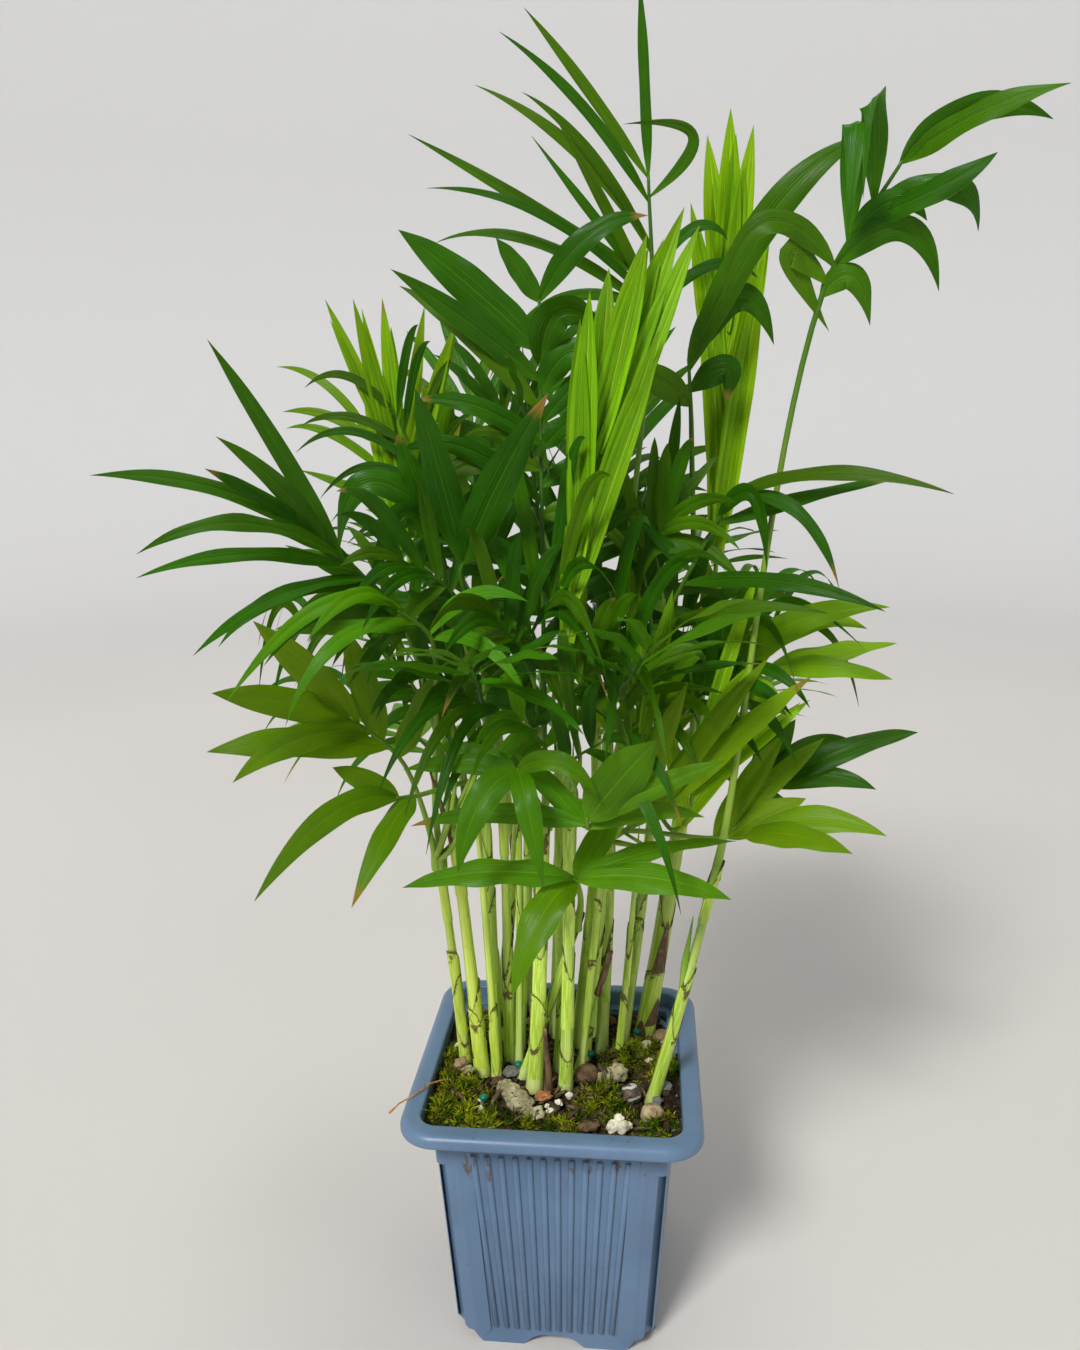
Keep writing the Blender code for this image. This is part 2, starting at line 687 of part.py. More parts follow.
def rib_path(start, stem_way, crown, end, shift):
    """The petiole up to the first leaflet, then the rachis to its end."""
    lower = (crown - start).length
    upper = (end - crown).length
    middle = ((crown - start).normalized() * 0.6 + (end - crown).normalized() * 0.4).normalized()
    petiole = [hermite(start, crown, stem_way * lower * 0.6, middle * lower * 0.8, k / PETIOLE_STEPS)
               for k in range(PETIOLE_STEPS)]
    for k, point in enumerate(petiole):
        point += shift * math.sin(math.pi * k / PETIOLE_STEPS)
    close = (end - crown).normalized()
    rachis = [hermite(crown, end, middle * upper, close * upper, k / RACHIS_STEPS)
              for k in range(RACHIS_STEPS + 1)]
    return petiole + rachis


def rib_radii(path):
    last = len(path) - 1
    return [PETIOLE_RADIUS + (RIB_END_RADIUS - PETIOLE_RADIUS) * k / last for k in range(last + 1)]


def place_on_rib(path, share, face):
    """The point at a share of the rachis, and the directions along it and across it."""
    rachis = path[PETIOLE_STEPS:]
    lengths = [(b - a).length for a, b in zip(rachis, rachis[1:])]
    left = share * sum(lengths)
    for a, b, length in zip(rachis, rachis[1:], lengths):
        if left <= length + 0.001:
            break
        left -= length
    along = (b - a).normalized()
    across = along.cross(face).normalized()
    return a.lerp(b, min(1.0, left / length)) - along * ROOT_SINK, along, across


def leaf_half_width(share, width):
    half = width / 2
    if share < LEAF_WIDEST:
        grown = LEAF_ROOT_SHARE + (1 - LEAF_ROOT_SHARE) * (share / LEAF_WIDEST) ** 0.8
        return half * grown
    return half * (1 - ((share - LEAF_WIDEST) / (1 - LEAF_WIDEST)) ** LEAF_TAPER)


def leaf_point(leaf, t):
    return leaf["root"] * (1 - t)**2 + leaf["bend"] * 2 * t * (1 - t) + leaf["tip"] * t * t


def leaf_frames(leaf):
    """Even steps along the curve: each point with the way along, across and out of the face.
    The first is square to the frond's face, and each next one is turned only as far as the curve turns."""
    frames = []
    across = None
    for k in range(LEAF_STEPS + 1):
        t = k / LEAF_STEPS
        along = ((leaf["bend"] - leaf["root"]) * (1 - t) + (leaf["tip"] - leaf["bend"]) * t).normalized()
        if across is None:
            across = along.cross(leaf["face"]).normalized()
        else:
            across = before.rotation_difference(along) @ across
        across = (across - along * along.dot(across)).normalized()
        frames.append((leaf_point(leaf, t), along, across, across.cross(along)))
        before = along
    return frames


def leaf_rings(leaf, grow=0.0):
    """Three-sided rings: a flat face above and a keel below."""
    reach = (leaf["tip"] - leaf["root"]).length
    thick = max(LEAST_THICKNESS, THICKNESS_SHARE * reach)
    frames = leaf_frames(leaf)
    rings = []
    for step in leaf["stations"]:
        t = step / LEAF_STEPS
        point, along, across, out = frames[step]
        half = leaf_half_width(t, leaf["width"]) + grow
        rings.append([point + across * half + out * grow, point - across * half + out * grow,
                      point - out * (thick * (1 - 0.4 * t) + grow)])
    point, along, across, out = frames[-1]
    return rings, point + along * grow


def leaves_of(frond, path, dice):
    """The leaflets as wanted, before they are fitted among their neighbours."""
    name, stem, crown, end, face, width, colour, own, rule = frond
    face = Vector(face).normalized()
    leaves = []
    for entry in own:
        share, heading, rise, reach = entry[:4]
        hooked = len(entry) > 5
        root, along, across = place_on_rib(path, share, face)
        way = heading_vector(heading, rise)
        if hooked:
            bend = heading_vector(*entry[4:7])
        else:
            bend = way * reach * 0.55 + UP * reach * LEAF_ARCH
        stations = HOOKED_STATIONS if hooked else STRAIGHT_STATIONS
        broad = entry[-1] if len(entry) in (5, 8) else 1.0
        leaves.append({"root": root, "way": way * reach, "bend_way": bend,
                       "stations": stations, "broad": broad})
    if rule:
        count, longest, spread_foot, spread_tip, droop = rule
        for k in range(count):
            share = 1.0 if k >= count - 2 else k / (count - 1.5)
            side = 1 if k % 2 else -1
            root, along, across = place_on_rib(path, share, face)
            spread = math.radians(spread_foot + (spread_tip - spread_foot) * share + dice.uniform(-7, 7))
            lift = across.cross(along) * 0.14 * math.sin(spread)
            sag = droop * dice.uniform(0.7, 1.3)
            fullness = 0.72 + 0.28 * math.sin(math.pi * (0.15 + 0.75 * share))
            reach = longest * fullness * dice.uniform(0.88, 1.08)
            way = along * math.cos(spread) + across * side * math.sin(spread) + lift - UP * sag
            way = way.normalized() * reach
            bend = way * 0.55 + UP * sag * reach * 1.4
            leaves.append({"root": root, "way": way, "bend_way": bend,
                           "stations": STRAIGHT_STATIONS, "broad": 1.0})
    for leaf in leaves:
        leaf["face"] = face
        leaf["width"] = width * leaf["broad"] * dice.uniform(0.9, 1.08)
        leaf["root"] = leaf["root"] + face * dice.uniform(-0.12, 0.12)
    return leaves


# Fitting: every rib and leaflet keeps clear of what is already placed on other nodes

class Space:
    """Holds guard shells of placed pieces, and tells whether a new one touches another node's."""

    def __init__(self):
        self.shells = []
        self.outer_shells = []

    @staticmethod
    def shell(rings, tip=None):
        points, faces = skin(rings, tip)
        low = Vector([min(p[i] for p in points) for i in range(3)])
        high = Vector([max(p[i] for p in points) for i in range(3)])
        return low, high, BVHTree.FromPolygons(points, faces)

    def add(self, node, shell, outer=None):
        self.shells.append((node, shell))
        if outer:
            self.outer_shells.append((node, outer))

    @staticmethod
    def meets(shell, other):
        low, high, tree = shell
        other_low, other_high, other_tree = other
        if any(low[i] > other_high[i] or high[i] < other_low[i] for i in range(3)):
            return False
        return bool(tree.overlap(other_tree))

    def touches(self, node, shell, outer=None):
        """Whether a shell meets another node, or a leaflet's outer part meets one of its own frond's."""
        if any(owner != node and self.meets(shell, other) for owner, other in self.shells):
            return True
        return outer is not None and any(owner == node and self.meets(outer, other)
                                         for owner, other in self.outer_shells)


def bundle_starts():
    """Where each frond leaves its stem's top: one in the middle, several in a ring around it."""
    starts = {}
    for number in STEMS:
        path, radii = stem_path(number)
        way = (path[-1] - path[-2]).normalized()
        top = path[-1] + UP * (CLEAR + BUNDLE_LIFT)
        mine = [frond for frond in FRONDS if frond[1] == number]
        mine.sort(key=lambda frond: math.atan2(frond[2][1] - top.y, frond[2][0] - top.x))
        for k, frond in enumerate(mine):
            offset = Vector((0, 0, 0))
            if len(mine) > 1:
                first = math.atan2(mine[0][2][1] - top.y, mine[0][2][0] - top.x)
                angle = first + 2 * math.pi * k / len(mine)
                offset = Vector((math.cos(angle), math.sin(angle), 0)) * BUNDLE_RADIUS
            starts[frond[0]] = (top + offset, way)
    return starts


def fit_ribs(space):
    """Bows each petiole aside until it is clear of stems and of the ribs before it."""
    paths = {}
    starts = bundle_starts()
    tries = [Vector((0, 0, 0))]
    for size in (1.5, 3, 4.5, 6, 8, 10):
        tries += [Vector((math.cos(a), math.sin(a), 0)) * size for a in (k * math.pi / 4 for k in range(8))]
    for frond in FRONDS:
        name, stem, crown, end = frond[:4]
        start, way = starts[name]
        for shift in tries:
            path = rib_path(start, way, Vector(crown), Vector(end), shift)
            radii = [r + GUARD for r in rib_radii(path)]
            shell = Space.shell(tube_rings(path, radii, RIB_SIDES, level_foot=True))
            if not space.touches(name, shell):
                break
        else:
            print("rib not clear:", name)
        paths[name] = path
        space.add(name, shell)
    return paths


def fit_leaves(space, paths):
    """Turns or shortens each leaflet until it is clear, and skips one that never is."""
    dice = random.Random(SEED)
    fitted = {}
    skipped = 0
    changes = [(0, 0, 1.0)]
    for turn in (8, -8, 16, -16, 25, -25):
        changes.append((turn, 0, 1.0))
    for lift in (7, -7, 14, -14):
        changes += [(turn, lift, 0.97) for turn in (0, 12, -12, 24, -24)]
    changes += [(turn, lift, 0.8) for lift in (0, 10, -10, 20, -20) for turn in (0, 15, -15, 30, -30)]
    changes += [(turn, lift, 0.6) for lift in (0, 15, -15, 25, -25) for turn in (0, 20, -20, 40, -40)]
    for frond in FRONDS:
        name = frond[0]
        kept = []
        for leaf in leaves_of(frond, paths[name], dice):
            out = leaf["face"]
            for turn, lift, scale in changes:
                trial = dict(leaf)
                side = leaf["way"].cross(out).normalized()
                way = turned(turned(leaf["way"], side, turn), out, lift) * scale
                bend = turned(turned(leaf["bend_way"], side, turn), out, lift) * scale
                trial["tip"] = leaf["root"] + way
                trial["bend"] = leaf["root"] + bend
                rings, tip = leaf_rings(trial, GUARD)
                shell = Space.shell(rings, tip)
                outer = Space.shell(leaf_rings(trial)[0][1:], tip)
                if not space.touches(name, shell, outer):
                    kept.append(trial)
                    space.add(name, shell, outer)
                    break
            else:
                skipped += 1
        fitted[name] = kept
    print("leaflets", sum(len(kept) for kept in fitted.values()), "skipped", skipped)
    return fitted


def turned(vector, axis, degrees):
    """A vector turned about an axis by Rodrigues' formula."""
    angle = math.radians(degrees)
    return (vector * math.cos(angle) + axis.cross(vector) * math.sin(angle)
            + axis * axis.dot(vector) * (1 - math.cos(angle)))


def build_frond(name, path, leaves, finish):
    frond = loft(name, tube_rings(path, rib_radii(path), RIB_SIDES, level_foot=True), finish)
    blades = []
    for leaf in leaves:
        rings, tip = leaf_rings(leaf)
        blades.append(loft("blade", rings, None, tip))
    combine(frond, blades, "UNION")
    keep_largest_body(frond)
    frond.data.materials.clear()
    frond.data.materials.append(finish)
    return frond


def centre_on_origin():
    """Moves everything so that the middle of the whole box's underside is the origin."""
    low = [1e9, 1e9, 1e9]
    high = [-1e9, -1e9, -1e9]
    for thing in bpy.data.objects:
        for vert in thing.data.vertices:
            for i in range(3):
                low[i] = min(low[i], vert.co[i])
                high[i] = max(high[i], vert.co[i])
    middle = Vector(((low[0] + high[0]) / 2, (low[1] + high[1]) / 2, low[2]))
    holder = bpy.data.objects.new("palm", None)
    for thing in list(bpy.data.objects):
        if thing.type == "MESH":
            thing.parent = holder
    bpy.context.collection.objects.link(holder)
    holder.location = -middle
    print("centre", middle[:], "size", [h - l for h, l in zip(high, low)])


def build():
    clear_scene()
    build_pot(material("blue grey plastic", BLUE_GREY, 0.5))
    build_soil(material("dark soil", EARTH, 0.95))
    stone = material("pale stone", STONE, 0.85)
    for name, place, size in PEBBLES:
        build_pebble(name, place, size, stone)
    pale = material("pale green stem", PALE_GREEN, 0.45)
    space = Space()
    for number in STEMS:
        build_stem(number, pale)
        path, radii = stem_path(number)
        shell = Space.shell(tube_rings(path, [r + GUARD for r in radii], STEM_SIDES))
        if space.touches("stem_%02d" % number, shell):
            print("stem not clear:", number)
        space.add("stem_%02d" % number, shell)
    paths = fit_ribs(space)
    fitted = fit_leaves(space, paths)
    finishes = {colour: material("leaf %d" % k, colour, 0.4) for k, colour in enumerate((DEEP, MID, YOUNG))}
    for frond in FRONDS:
        build_frond(frond[0], paths[frond[0]], fitted[frond[0]], finishes[frond[6]])
    centre_on_origin()


build()
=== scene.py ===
# Parlour palm in a small square pot: the finished surfaces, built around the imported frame.
# The layout is in millimetres from the middle of the pot's underside, and pieces are made in metres.

import math
import random

import bmesh
import bpy
from mathutils import Matrix, Vector, noise
from mathutils.bvhtree import BVHTree


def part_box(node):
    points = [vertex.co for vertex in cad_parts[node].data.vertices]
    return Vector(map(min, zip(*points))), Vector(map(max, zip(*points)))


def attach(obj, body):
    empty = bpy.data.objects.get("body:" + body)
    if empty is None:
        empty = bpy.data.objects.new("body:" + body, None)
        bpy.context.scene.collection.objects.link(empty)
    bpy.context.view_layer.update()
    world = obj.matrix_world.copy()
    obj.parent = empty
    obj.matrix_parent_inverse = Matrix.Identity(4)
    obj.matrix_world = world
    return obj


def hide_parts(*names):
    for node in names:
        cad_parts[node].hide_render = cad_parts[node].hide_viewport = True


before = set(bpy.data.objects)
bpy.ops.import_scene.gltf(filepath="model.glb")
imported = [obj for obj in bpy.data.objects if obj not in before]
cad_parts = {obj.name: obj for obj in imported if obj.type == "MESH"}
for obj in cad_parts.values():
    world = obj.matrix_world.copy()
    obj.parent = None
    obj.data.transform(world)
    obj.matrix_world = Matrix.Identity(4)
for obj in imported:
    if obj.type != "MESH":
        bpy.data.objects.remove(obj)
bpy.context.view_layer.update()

MM = 0.001
CLEAR = 0.3
UP = Vector((0, 0, 1))
FRONT = Vector((0, -1, 0.01))
DARK = "dark"
MID = "mid"
YOUNG = "young"

# Pot
POT_HEIGHT = 65.0
RIM_WIDTH = 70.0
RIM_CORNER = 9.0
RIM_THICKNESS = 3.2
RIM_ROUNDING = 2.2
OPENING = 60.3
LEDGE_DEPTH = 4.0
LEDGE_WIDTH = 55.0
BODY_TOP = 56.7
BODY_BOTTOM = 49.6
BODY_CHAMFER = 5.6
NECK = 60.0
WALL = 0.9
FLOOR_UNDERSIDE = 3.0
FLOOR_THICKNESS = 1.5
FOOT_LIFT = 2.8
ARCH_TOP = 8.0
ARCH_BOTTOM = 20.0
FOOT_OUTER = 32.0
FOOT_OUTER_TOP = 39.2
RIBS = 12
RIB_RADIUS = 0.75
DRAIN_RADIUS = 3.0
DRAIN_OFFSET = 14.0
SOIL_TOP = 59.0

# Stems: foot x and y, lean per millimetre of rise in x and y, height of the top, foot radius
STEM_SIDES = 7
STEM_STEPS = 3
STEM_TAPER = 0.72
STEM_SWAY = 0.35
FLARE = 1.12
FLARE_SHARE = 0.25
STEMS = {
    1: (-23.9, -0.1, -0.090, 0.00, 117, 1.45),
    2: (-19.7, -1.6, -0.078, -0.01, 127, 1.9),
    3: (-16.2, 0.9, -0.018, 0.00, 135, 1.4),
    4: (-13.2, 3.7, -0.010, 0.01, 140, 1.5),
    5: (-18.1, 17.2, 0.100, 0.05, 131, 1.6),
    6: (-11.4, 7.7, 0.056, 0.02, 145, 1.6),
    7: (-9.1, -2.4, 0.322, -0.01, 103, 1.3),
    8: (-5.7, -7.0, 0.045, -0.02, 131, 1.9),
    9: (-2.1, -9.6, -0.030, -0.02, 78, 0.9),
    10: (-2.4, 16.4, 0.020, 0.04, 143, 1.7),
    11: (2.0, -6.8, 0.018, -0.01, 133, 1.7),
    12: (3.5, 11.8, 0.094, 0.03, 153, 1.6),
    13: (5.9, 6.6, 0.096, -0.03, 120, 1.4),
    14: (10.2, 9.4, 0.033, 0.02, 137, 1.6),
    15: (15.5, 12.7, 0.109, 0.03, 131, 1.6),
    16: (21.2, 17.2, 0.140, 0.05, 137, 2.5),
    17: (23.4, -9.4, 0.223, -0.02, 121, 1.6),
    18: (-8.0, 22.0, -0.118, 0.05, 135, 1.6),
    19: (8.0, 22.0, 0.000, 0.05, 141, 1.6),
    20: (-16.0, 10.0, -0.078, 0.02, 125, 1.4),
}

# Fronds
RIB_SIDES = 3
PETIOLE_RADIUS = 0.85
RIB_END_RADIUS = 0.45
PETIOLE_STEPS = 4
RACHIS_STEPS = 4
BUNDLE_RADIUS = 1.25
BUNDLE_LIFT = 0.15
STRAIGHT_STATIONS = (0, 4, 9)
HOOKED_STATIONS = (0, 4, 7, 10)
LEAF_STEPS = 13
LEAF_WIDEST = 0.38
LEAF_ROOT_SHARE = 0.12
ROOT_SINK = 0.7
LEAF_TAPER = 1.45
LEAF_ARCH = 0.05
THICKNESS_SHARE = 0.011
LEAST_THICKNESS = 0.4
GUARD = 0.22
SEED = 11
# Each frond has a name, the stem it tops, the first leaflet's place on the rib, the rib's end,
# the way its face looks, its leaflet width, its colour, its own leaflets and a rule for more.
# A leaflet is the share of the rib it stands at, its heading and rise in degrees and its reach,
# then, where it hooks, the heading, rise and reach of the bend, and last, if it is broader or
# narrower than its frond's others, how much.
# The rule is a leaflet count, the longest reach, the spread at foot and tip, and the droop.
FRONDS = (
    ("frond_top_right", 17, (54, -14, 244), (66, -22, 266), (0.1, -0.95, 0.3), 5.8, DARK, (
        (0.00, -5, -30, 11, -40, 50, 12), (0.10, 60, -75, 9, -155, 40, 22),
        (0.22, -10, -15, 20, -40, 40, 22), (0.22, 180, -15, 22, -155, 45, 26),
        (0.40, -100, 0, 12, -95, 76, 40), (0.42, -20, 10, 14, -50, 45, 15),
        (0.56, -20, 20, 25, -35, 10, 18), (0.64, -20, -10, 20, -40, 25, 21),
        (0.70, -110, -5, 12, -110, 74, 34), (1.00, -20, 10, 25, -50, 40, 18),
        (1.00, -25, 15, 29, -40, 25, 16),
    ), None),
    ("frond_high_right", 16, (30, 4, 218), (29, 2, 233), (0, -1, 0.2), 7.0, DARK, (
        (0.90, -15, 50, 56, -50, 60, 44), (1.00, -5, 10, 18, -40, 60, 27), (0.60, 0, -20, 8, -25, 40, 16),
        (0.40, -175, 15, 14, -155, 40, 15),
    ), None),
    ("frond_top", 12, (21, 8, 244), (20, 4, 270), (0, -1, 0.1), 4.0, DARK, (
        (1.00, -110, 80, 37), (1.00, -165, 50, 40), (0.82, -165, 45, 44, -140, 50, 25),
        (0.86, -135, 60, 15, -25, 32, 26), (0.50, -170, 40, 48, -145, 50, 28),
        (0.44, -160, 47, 41, -140, 55, 27), (0.16, -170, 50, 40, -150, 45, 18), (0.08, -155, 57, 41),
        (0.30, -5, 20, 17, -30, 50, 18), (0.22, -172, 30, 59, -160, 30, 34),
        (0.06, -175, 25, 53, -150, 40, 35), (0.00, 178, 18, 50, -155, 35, 36),
        (0.00, 170, -20, 40, -160, 25, 27), (0.00, 175, -45, 45, -165, 10, 24),
        (0.00, 5, 15, 24, -20, 45, 21),
    ), None),
    ("frond_upper_middle", 8, (-2, -8, 158), (-2, -8, 245), (0, -1, 0.2), 5.2, DARK, (
        (1.00, -170, 55, 15), (1.00, -5, 35, 27, -30, 55, 19), (0.89, -175, 40, 37, 1.8),
        (0.86, -5, 20, 15, -75, 60, 20, 1.7), (0.82, -165, 36, 37), (0.79, -5, 5, 15, -35, 60, 18, 1.3),
        (0.75, -178, 42, 40, -155, 50, 24), (0.72, -5, 45, 30), (0.67, -175, 20, 28, -160, 40, 17),
        (0.66, -15, 40, 16), (0.61, -172, -18, 29, -165, 25, 18), (0.57, -5, 30, 20),
        (0.53, -170, 20, 32, -155, 45, 26), (0.50, -10, 10, 16), (0.38, 0, 30, 24), (0.36, 178, 26, 30),
        (0.26, 5, 22, 24), (0.25, -165, -6, 21, -160, 35, 13), (0.14, 172, 18, 36, 180, 28, 20),
        (0.11, -178, 46, 18, 1.4), (0.10, -12, -30, 19, -15, 35, 14, 1.2), (0.02, -95, -8, 14, 1.4),
        (0.02, 175, 32, 20), (0.00, -178, 2, 33, -170, 24, 17, 1.2),
    ), None),
    ("frond_left", 2, (-32, -14, 178), (-45, -30, 199), (0, -0.8, 0.6), 5.2, DARK, (
        (1.00, -128, 18, 47, -112, 30, 30), (1.00, -122, 24, 32), (0.95, -132, 45, 30, -110, 50, 17),
        (0.88, -140, 52, 24), (0.74, -120, 8, 48, -112, 30, 33), (0.75, -138, 60, 49),
        (0.60, -130, 5, 47, -118, 20, 31), (0.62, -150, 40, 24), (0.50, -120, -10, 45, -112, 10, 28),
        (0.36, -134, -10, 37, -118, 18, 30), (0.34, -160, 30, 22), (0.22, -124, -12, 34, -116, 25, 20),
        (0.10, -145, 0, 27, -125, 25, 13),
    ), None),
    ("frond_left_hooked", 3, (-24, -10, 191), (-26, -12, 202), (0, -0.9, 0.4), 6.8, DARK, (
        (1.00, -175, -25, 22, -145, 45, 26), (0.40, -165, -38, 19, -120, 60, 23), (1.00, -140, 70, 20),
        (0.50, -5, 40, 20),
    ), None),
    ("frond_left_arching", 1, (-24, -22, 176), (-29, -30, 184), (0, -0.75, 0.65), 4.4, MID, (
        (1.00, -118, -10, 46, -105, 30, 30), (1.00, -100, -4, 42, -98, 25, 24),
        (0.60, -140, -30, 34, -130, 15, 23), (0.50, -160, 0, 29), (0.20, -10, 20, 23, -20, 55, 17),
        (0.10, -30, -20, 26, -30, 20, 16),
    ), None),
    ("frond_forked", 6, (-19, -14, 189), (-18, -15, 192), (0, -1, 0.2), 8.8, DARK, (
        (1.00, -120, 70, 38), (1.00, -35, 55, 42, -55, 50, 22),
    ), None),
    ("spear_left", 4, (-34, 8, 184), (-36, 8, 210), (0, -1, 0), 6.0, YOUNG, (
        (1.00, -175, 68, 41), (0.80, -165, 78, 44), (1.00, -150, 86, 38), (0.80, -15, 80, 42),
        (0.60, -8, 72, 45), (0.30, 175, 76, 37), (0.10, 5, 70, 37),
    ), None),
    ("frond_left_thin", 5, (-33, 22, 187), (-48, 30, 216), (0, -1, 0.3), 3.0, MID, (
        (1.00, 165, 35, 33, 175, 60, 22), (1.00, 175, 18, 25, 180, 40, 15),
        (0.70, 178, 25, 29, -175, 45, 22), (0.40, 170, 20, 31), (0.50, 45, 70, 38), (0.20, -5, 40, 26),
    ), None),
    ("spear_middle", 11, (4, -20, 172), (10, -16, 215), (0, -1, 0), 7.0, YOUNG, (
        (1.00, 60, 82, 36), (1.00, 25, 75, 42), (0.90, 15, 70, 54), (0.70, 10, 68, 60),
        (0.50, 70, 82, 52), (0.30, 5, 72, 56), (0.10, 50, 82, 49),
    ), None),
    ("spear_right", 16, (37, 16, 188), (37, 14, 240), (0, -1, 0), 5.8, YOUNG, (
        (1.00, -160, 83, 40), (1.00, -100, 88, 44), (0.90, -20, 84, 46), (0.50, -15, 80, 53),
        (0.60, -165, 80, 48), (0.20, -170, 85, 60), (0.10, -10, 83, 62), (0.00, -100, 86, 56),
    ), None),
    ("frond_right", 14, (23, -4, 173), (38, -14, 206), (0, -0.8, 0.6), 4.8, DARK, (
        (1.00, -30, 2, 44, -45, 22, 25), (1.00, -35, -35, 30, -45, 10, 20),
        (0.85, -35, -40, 15, -55, 50, 20), (0.80, -25, 16, 38), (0.60, 160, -45, 17, 170, 25, 15),
        (0.50, 180, 40, 16), (0.40, -30, -2, 44, -38, 14, 26), (0.20, 165, 30, 20),
        (0.10, -28, 10, 38, -42, 25, 24),
    ), None),
    ("frond_left_broad", 1, (-34, -10, 144), (-44, -18, 158), (0, -0.8, 0.6), 7.6, MID, (
        (0.90, -145, 50, 33), (0.50, -150, 75, 28), (1.00, -135, 20, 33),
        (0.70, -130, -5, 34, -125, 20, 21), (0.40, -145, 8, 40, -125, 20, 28), (0.20, 10, 60, 24),
    ), None),
    ("frond_left_low", 3, (-31, -16, 139), (-34, -20, 140), (0, -0.8, 0.6), 7.0, MID, (
        (1.00, -125, -15, 40, -125, 25, 20), (0.10, -110, -32, 30, -100, 0, 14), (1.00, -165, 30, 16),
    ), None),
    ("frond_right_broad", 15, (33, 4, 159), (49, 0, 166), (0, -0.7, 0.7), 6.6, MID, (
        (1.00, -15, 15, 28), (1.00, -22, 0, 27, -50, 15, 18), (0.60, -5, 22, 30, 10, 55, 22),
        (0.30, 100, 70, 28), (0.20, -20, 28, 44, -15, 50, 27), (0.20, -50, -5, 24, -45, 25, 14),
    ), None),
    ("frond_right_low", 16, (46, 10, 132), (50, 10, 134), (0, -0.7, 0.7), 6.0, DARK, (
        (1.00, 0, 22, 38, -10, 32, 27), (0.80, 10, 30, 24, 10, 50, 16), (1.00, -15, 5, 26, -10, 25, 16),
        (0.40, 60, 55, 18), (0.24, 35, 50, 21), (0.08, -35, -10, 14),
    ), None),
    ("frond_right_bright", 13, (37, -2, 125), (44, -4, 127), (0, -0.6, 0.8), 7.2, MID, (
        (1.00, -18, 8, 32, -15, 30, 19), (1.00, -35, 0, 28, -35, 16, 14), (0.40, -5, 30, 21),
        (0.10, 10, 58, 30, 0.8), (0.20, 15, 42, 34, 0.8),
    ), None),
    ("frond_front_low", 7, (6, -24, 124), (6, -29, 126), (0, -0.4, 0.9), 8.4, MID, (
        (1.00, -5, -4, 33, -8, 14, 18), (1.00, 178, -6, 38, -175, 12, 20, 0.9),
        (0.50, -128, -45, 28, -128, -8, 13, 1.1), (0.60, 12, 10, 36, 10, 24, 18, 0.7),
        (0.20, 60, 30, 22, 0.8),
    ), None),
    ("frond_front_oval", 11, (9, -32, 139), (9, -34, 142), (0, -1, 0.2), 6.4, MID, (
        (1.00, -20, 52, 24, 2.1), (1.00, -8, 28, 31), (0.60, 175, -4, 38, 170, 10, 20),
        (0.30, 5, 5, 24, 10, 25, 13), (0.20, 160, 40, 22),
    ), None),
    ("frond_front_hanging", 8, (-6, -29, 150), (-5, -34, 152), (0, -0.8, 0.6), 6.6, MID, (
        (1.00, -140, -52, 24, -140, -5, 11, 1.2), (1.00, -60, -60, 24, -75, -5, 11),
        (0.80, -10, -18, 18, -15, 30, 13, 0.8), (0.60, 178, -2, 24, 180, 12, 13), (0.30, 168, 12, 18),
        (0.20, 140, -25, 14, 1.2),
    ), None),
    ("spear_low_right", 14, (27, 0, 126), (33, -4, 147), (0, -1, 0.2), 5.6, YOUNG, (
        (1.00, -20, 74, 45, 0.8), (1.00, -10, 60, 30, 1.5), (0.60, -5, 42, 34, -25, 45, 22),
        (0.30, 170, 76, 40), (0.80, 0, 68, 41), (0.10, 5, 52, 34),
    ), None),
    ("spear_low_middle", 13, (20, -8, 146), (20, -8, 160), (0, -1, 0.1), 5.8, YOUNG, (
        (1.00, 160, 84, 31), (1.00, 10, 74, 24), (0.50, 0, 80, 34), (0.30, -5, 35, 14),
        (0.10, 175, 60, 26),
    ), None),
    ("frond_inner_left", 6, (-15, 14, 166), (-29, 34, 185), (0, -0.4, 0.9), 5.4, DARK, (),
     (10, 38, 70, 25, 0.12)),
    ("frond_back_middle", 10, (-2, 40, 169), (-4, 70, 203), (0, 0.5, 0.8), 5.2, DARK, (),
     (12, 40, 70, 22, 0.12)),
    ("frond_back_left", 18, (-27, 44, 156), (-55, 84, 178), (0, 0.2, 1), 5.2, DARK, (),
     (12, 40, 70, 22, 0.14)),
    ("frond_back_right", 19, (14, 44, 162), (34, 84, 179), (0, 0.2, 1), 5.2, DARK, (),
     (12, 40, 70, 22, 0.14)),
    ("frond_back_low", 10, (-7, 50, 138), (-13, 90, 139), (0, 0.2, 1), 6.0, MID, (), (10, 38, 65, 22, 0.14)),
    ("frond_back_low_right", 15, (30, 40, 136), (51, 70, 142), (0, 0.1, 1), 6.0, MID, (),
     (8, 36, 60, 22, 0.14)),
    ("frond_back_low_left", 20, (-31, 30, 132), (-58, 60, 134), (0, 0.1, 1), 6.6, MID, (),
     (8, 36, 60, 22, 0.14)),
    ("frond_front_right", 12, (13, -10, 160), (21, -40, 178), (0, -0.2, 1), 5.6, DARK, (),
     (10, 34, 65, 22, 0.12)),
    ("frond_front_left", 4, (-15, -16, 162), (-12, -46, 176), (0, -0.2, 1), 5.6, DARK, (),
     (10, 34, 65, 22, 0.12)),
    ("frond_high_back", 19, (9, 30, 186), (11, 44, 220), (0, 0.9, 0.3), 4.8, DARK, (),
     (12, 40, 65, 20, 0.10)),
    ("frond_high_back_left", 18, (-23, 36, 185), (-26, 50, 226), (0, 0.9, 0.3), 4.8, DARK, (),
     (12, 40, 65, 20, 0.10)),
)

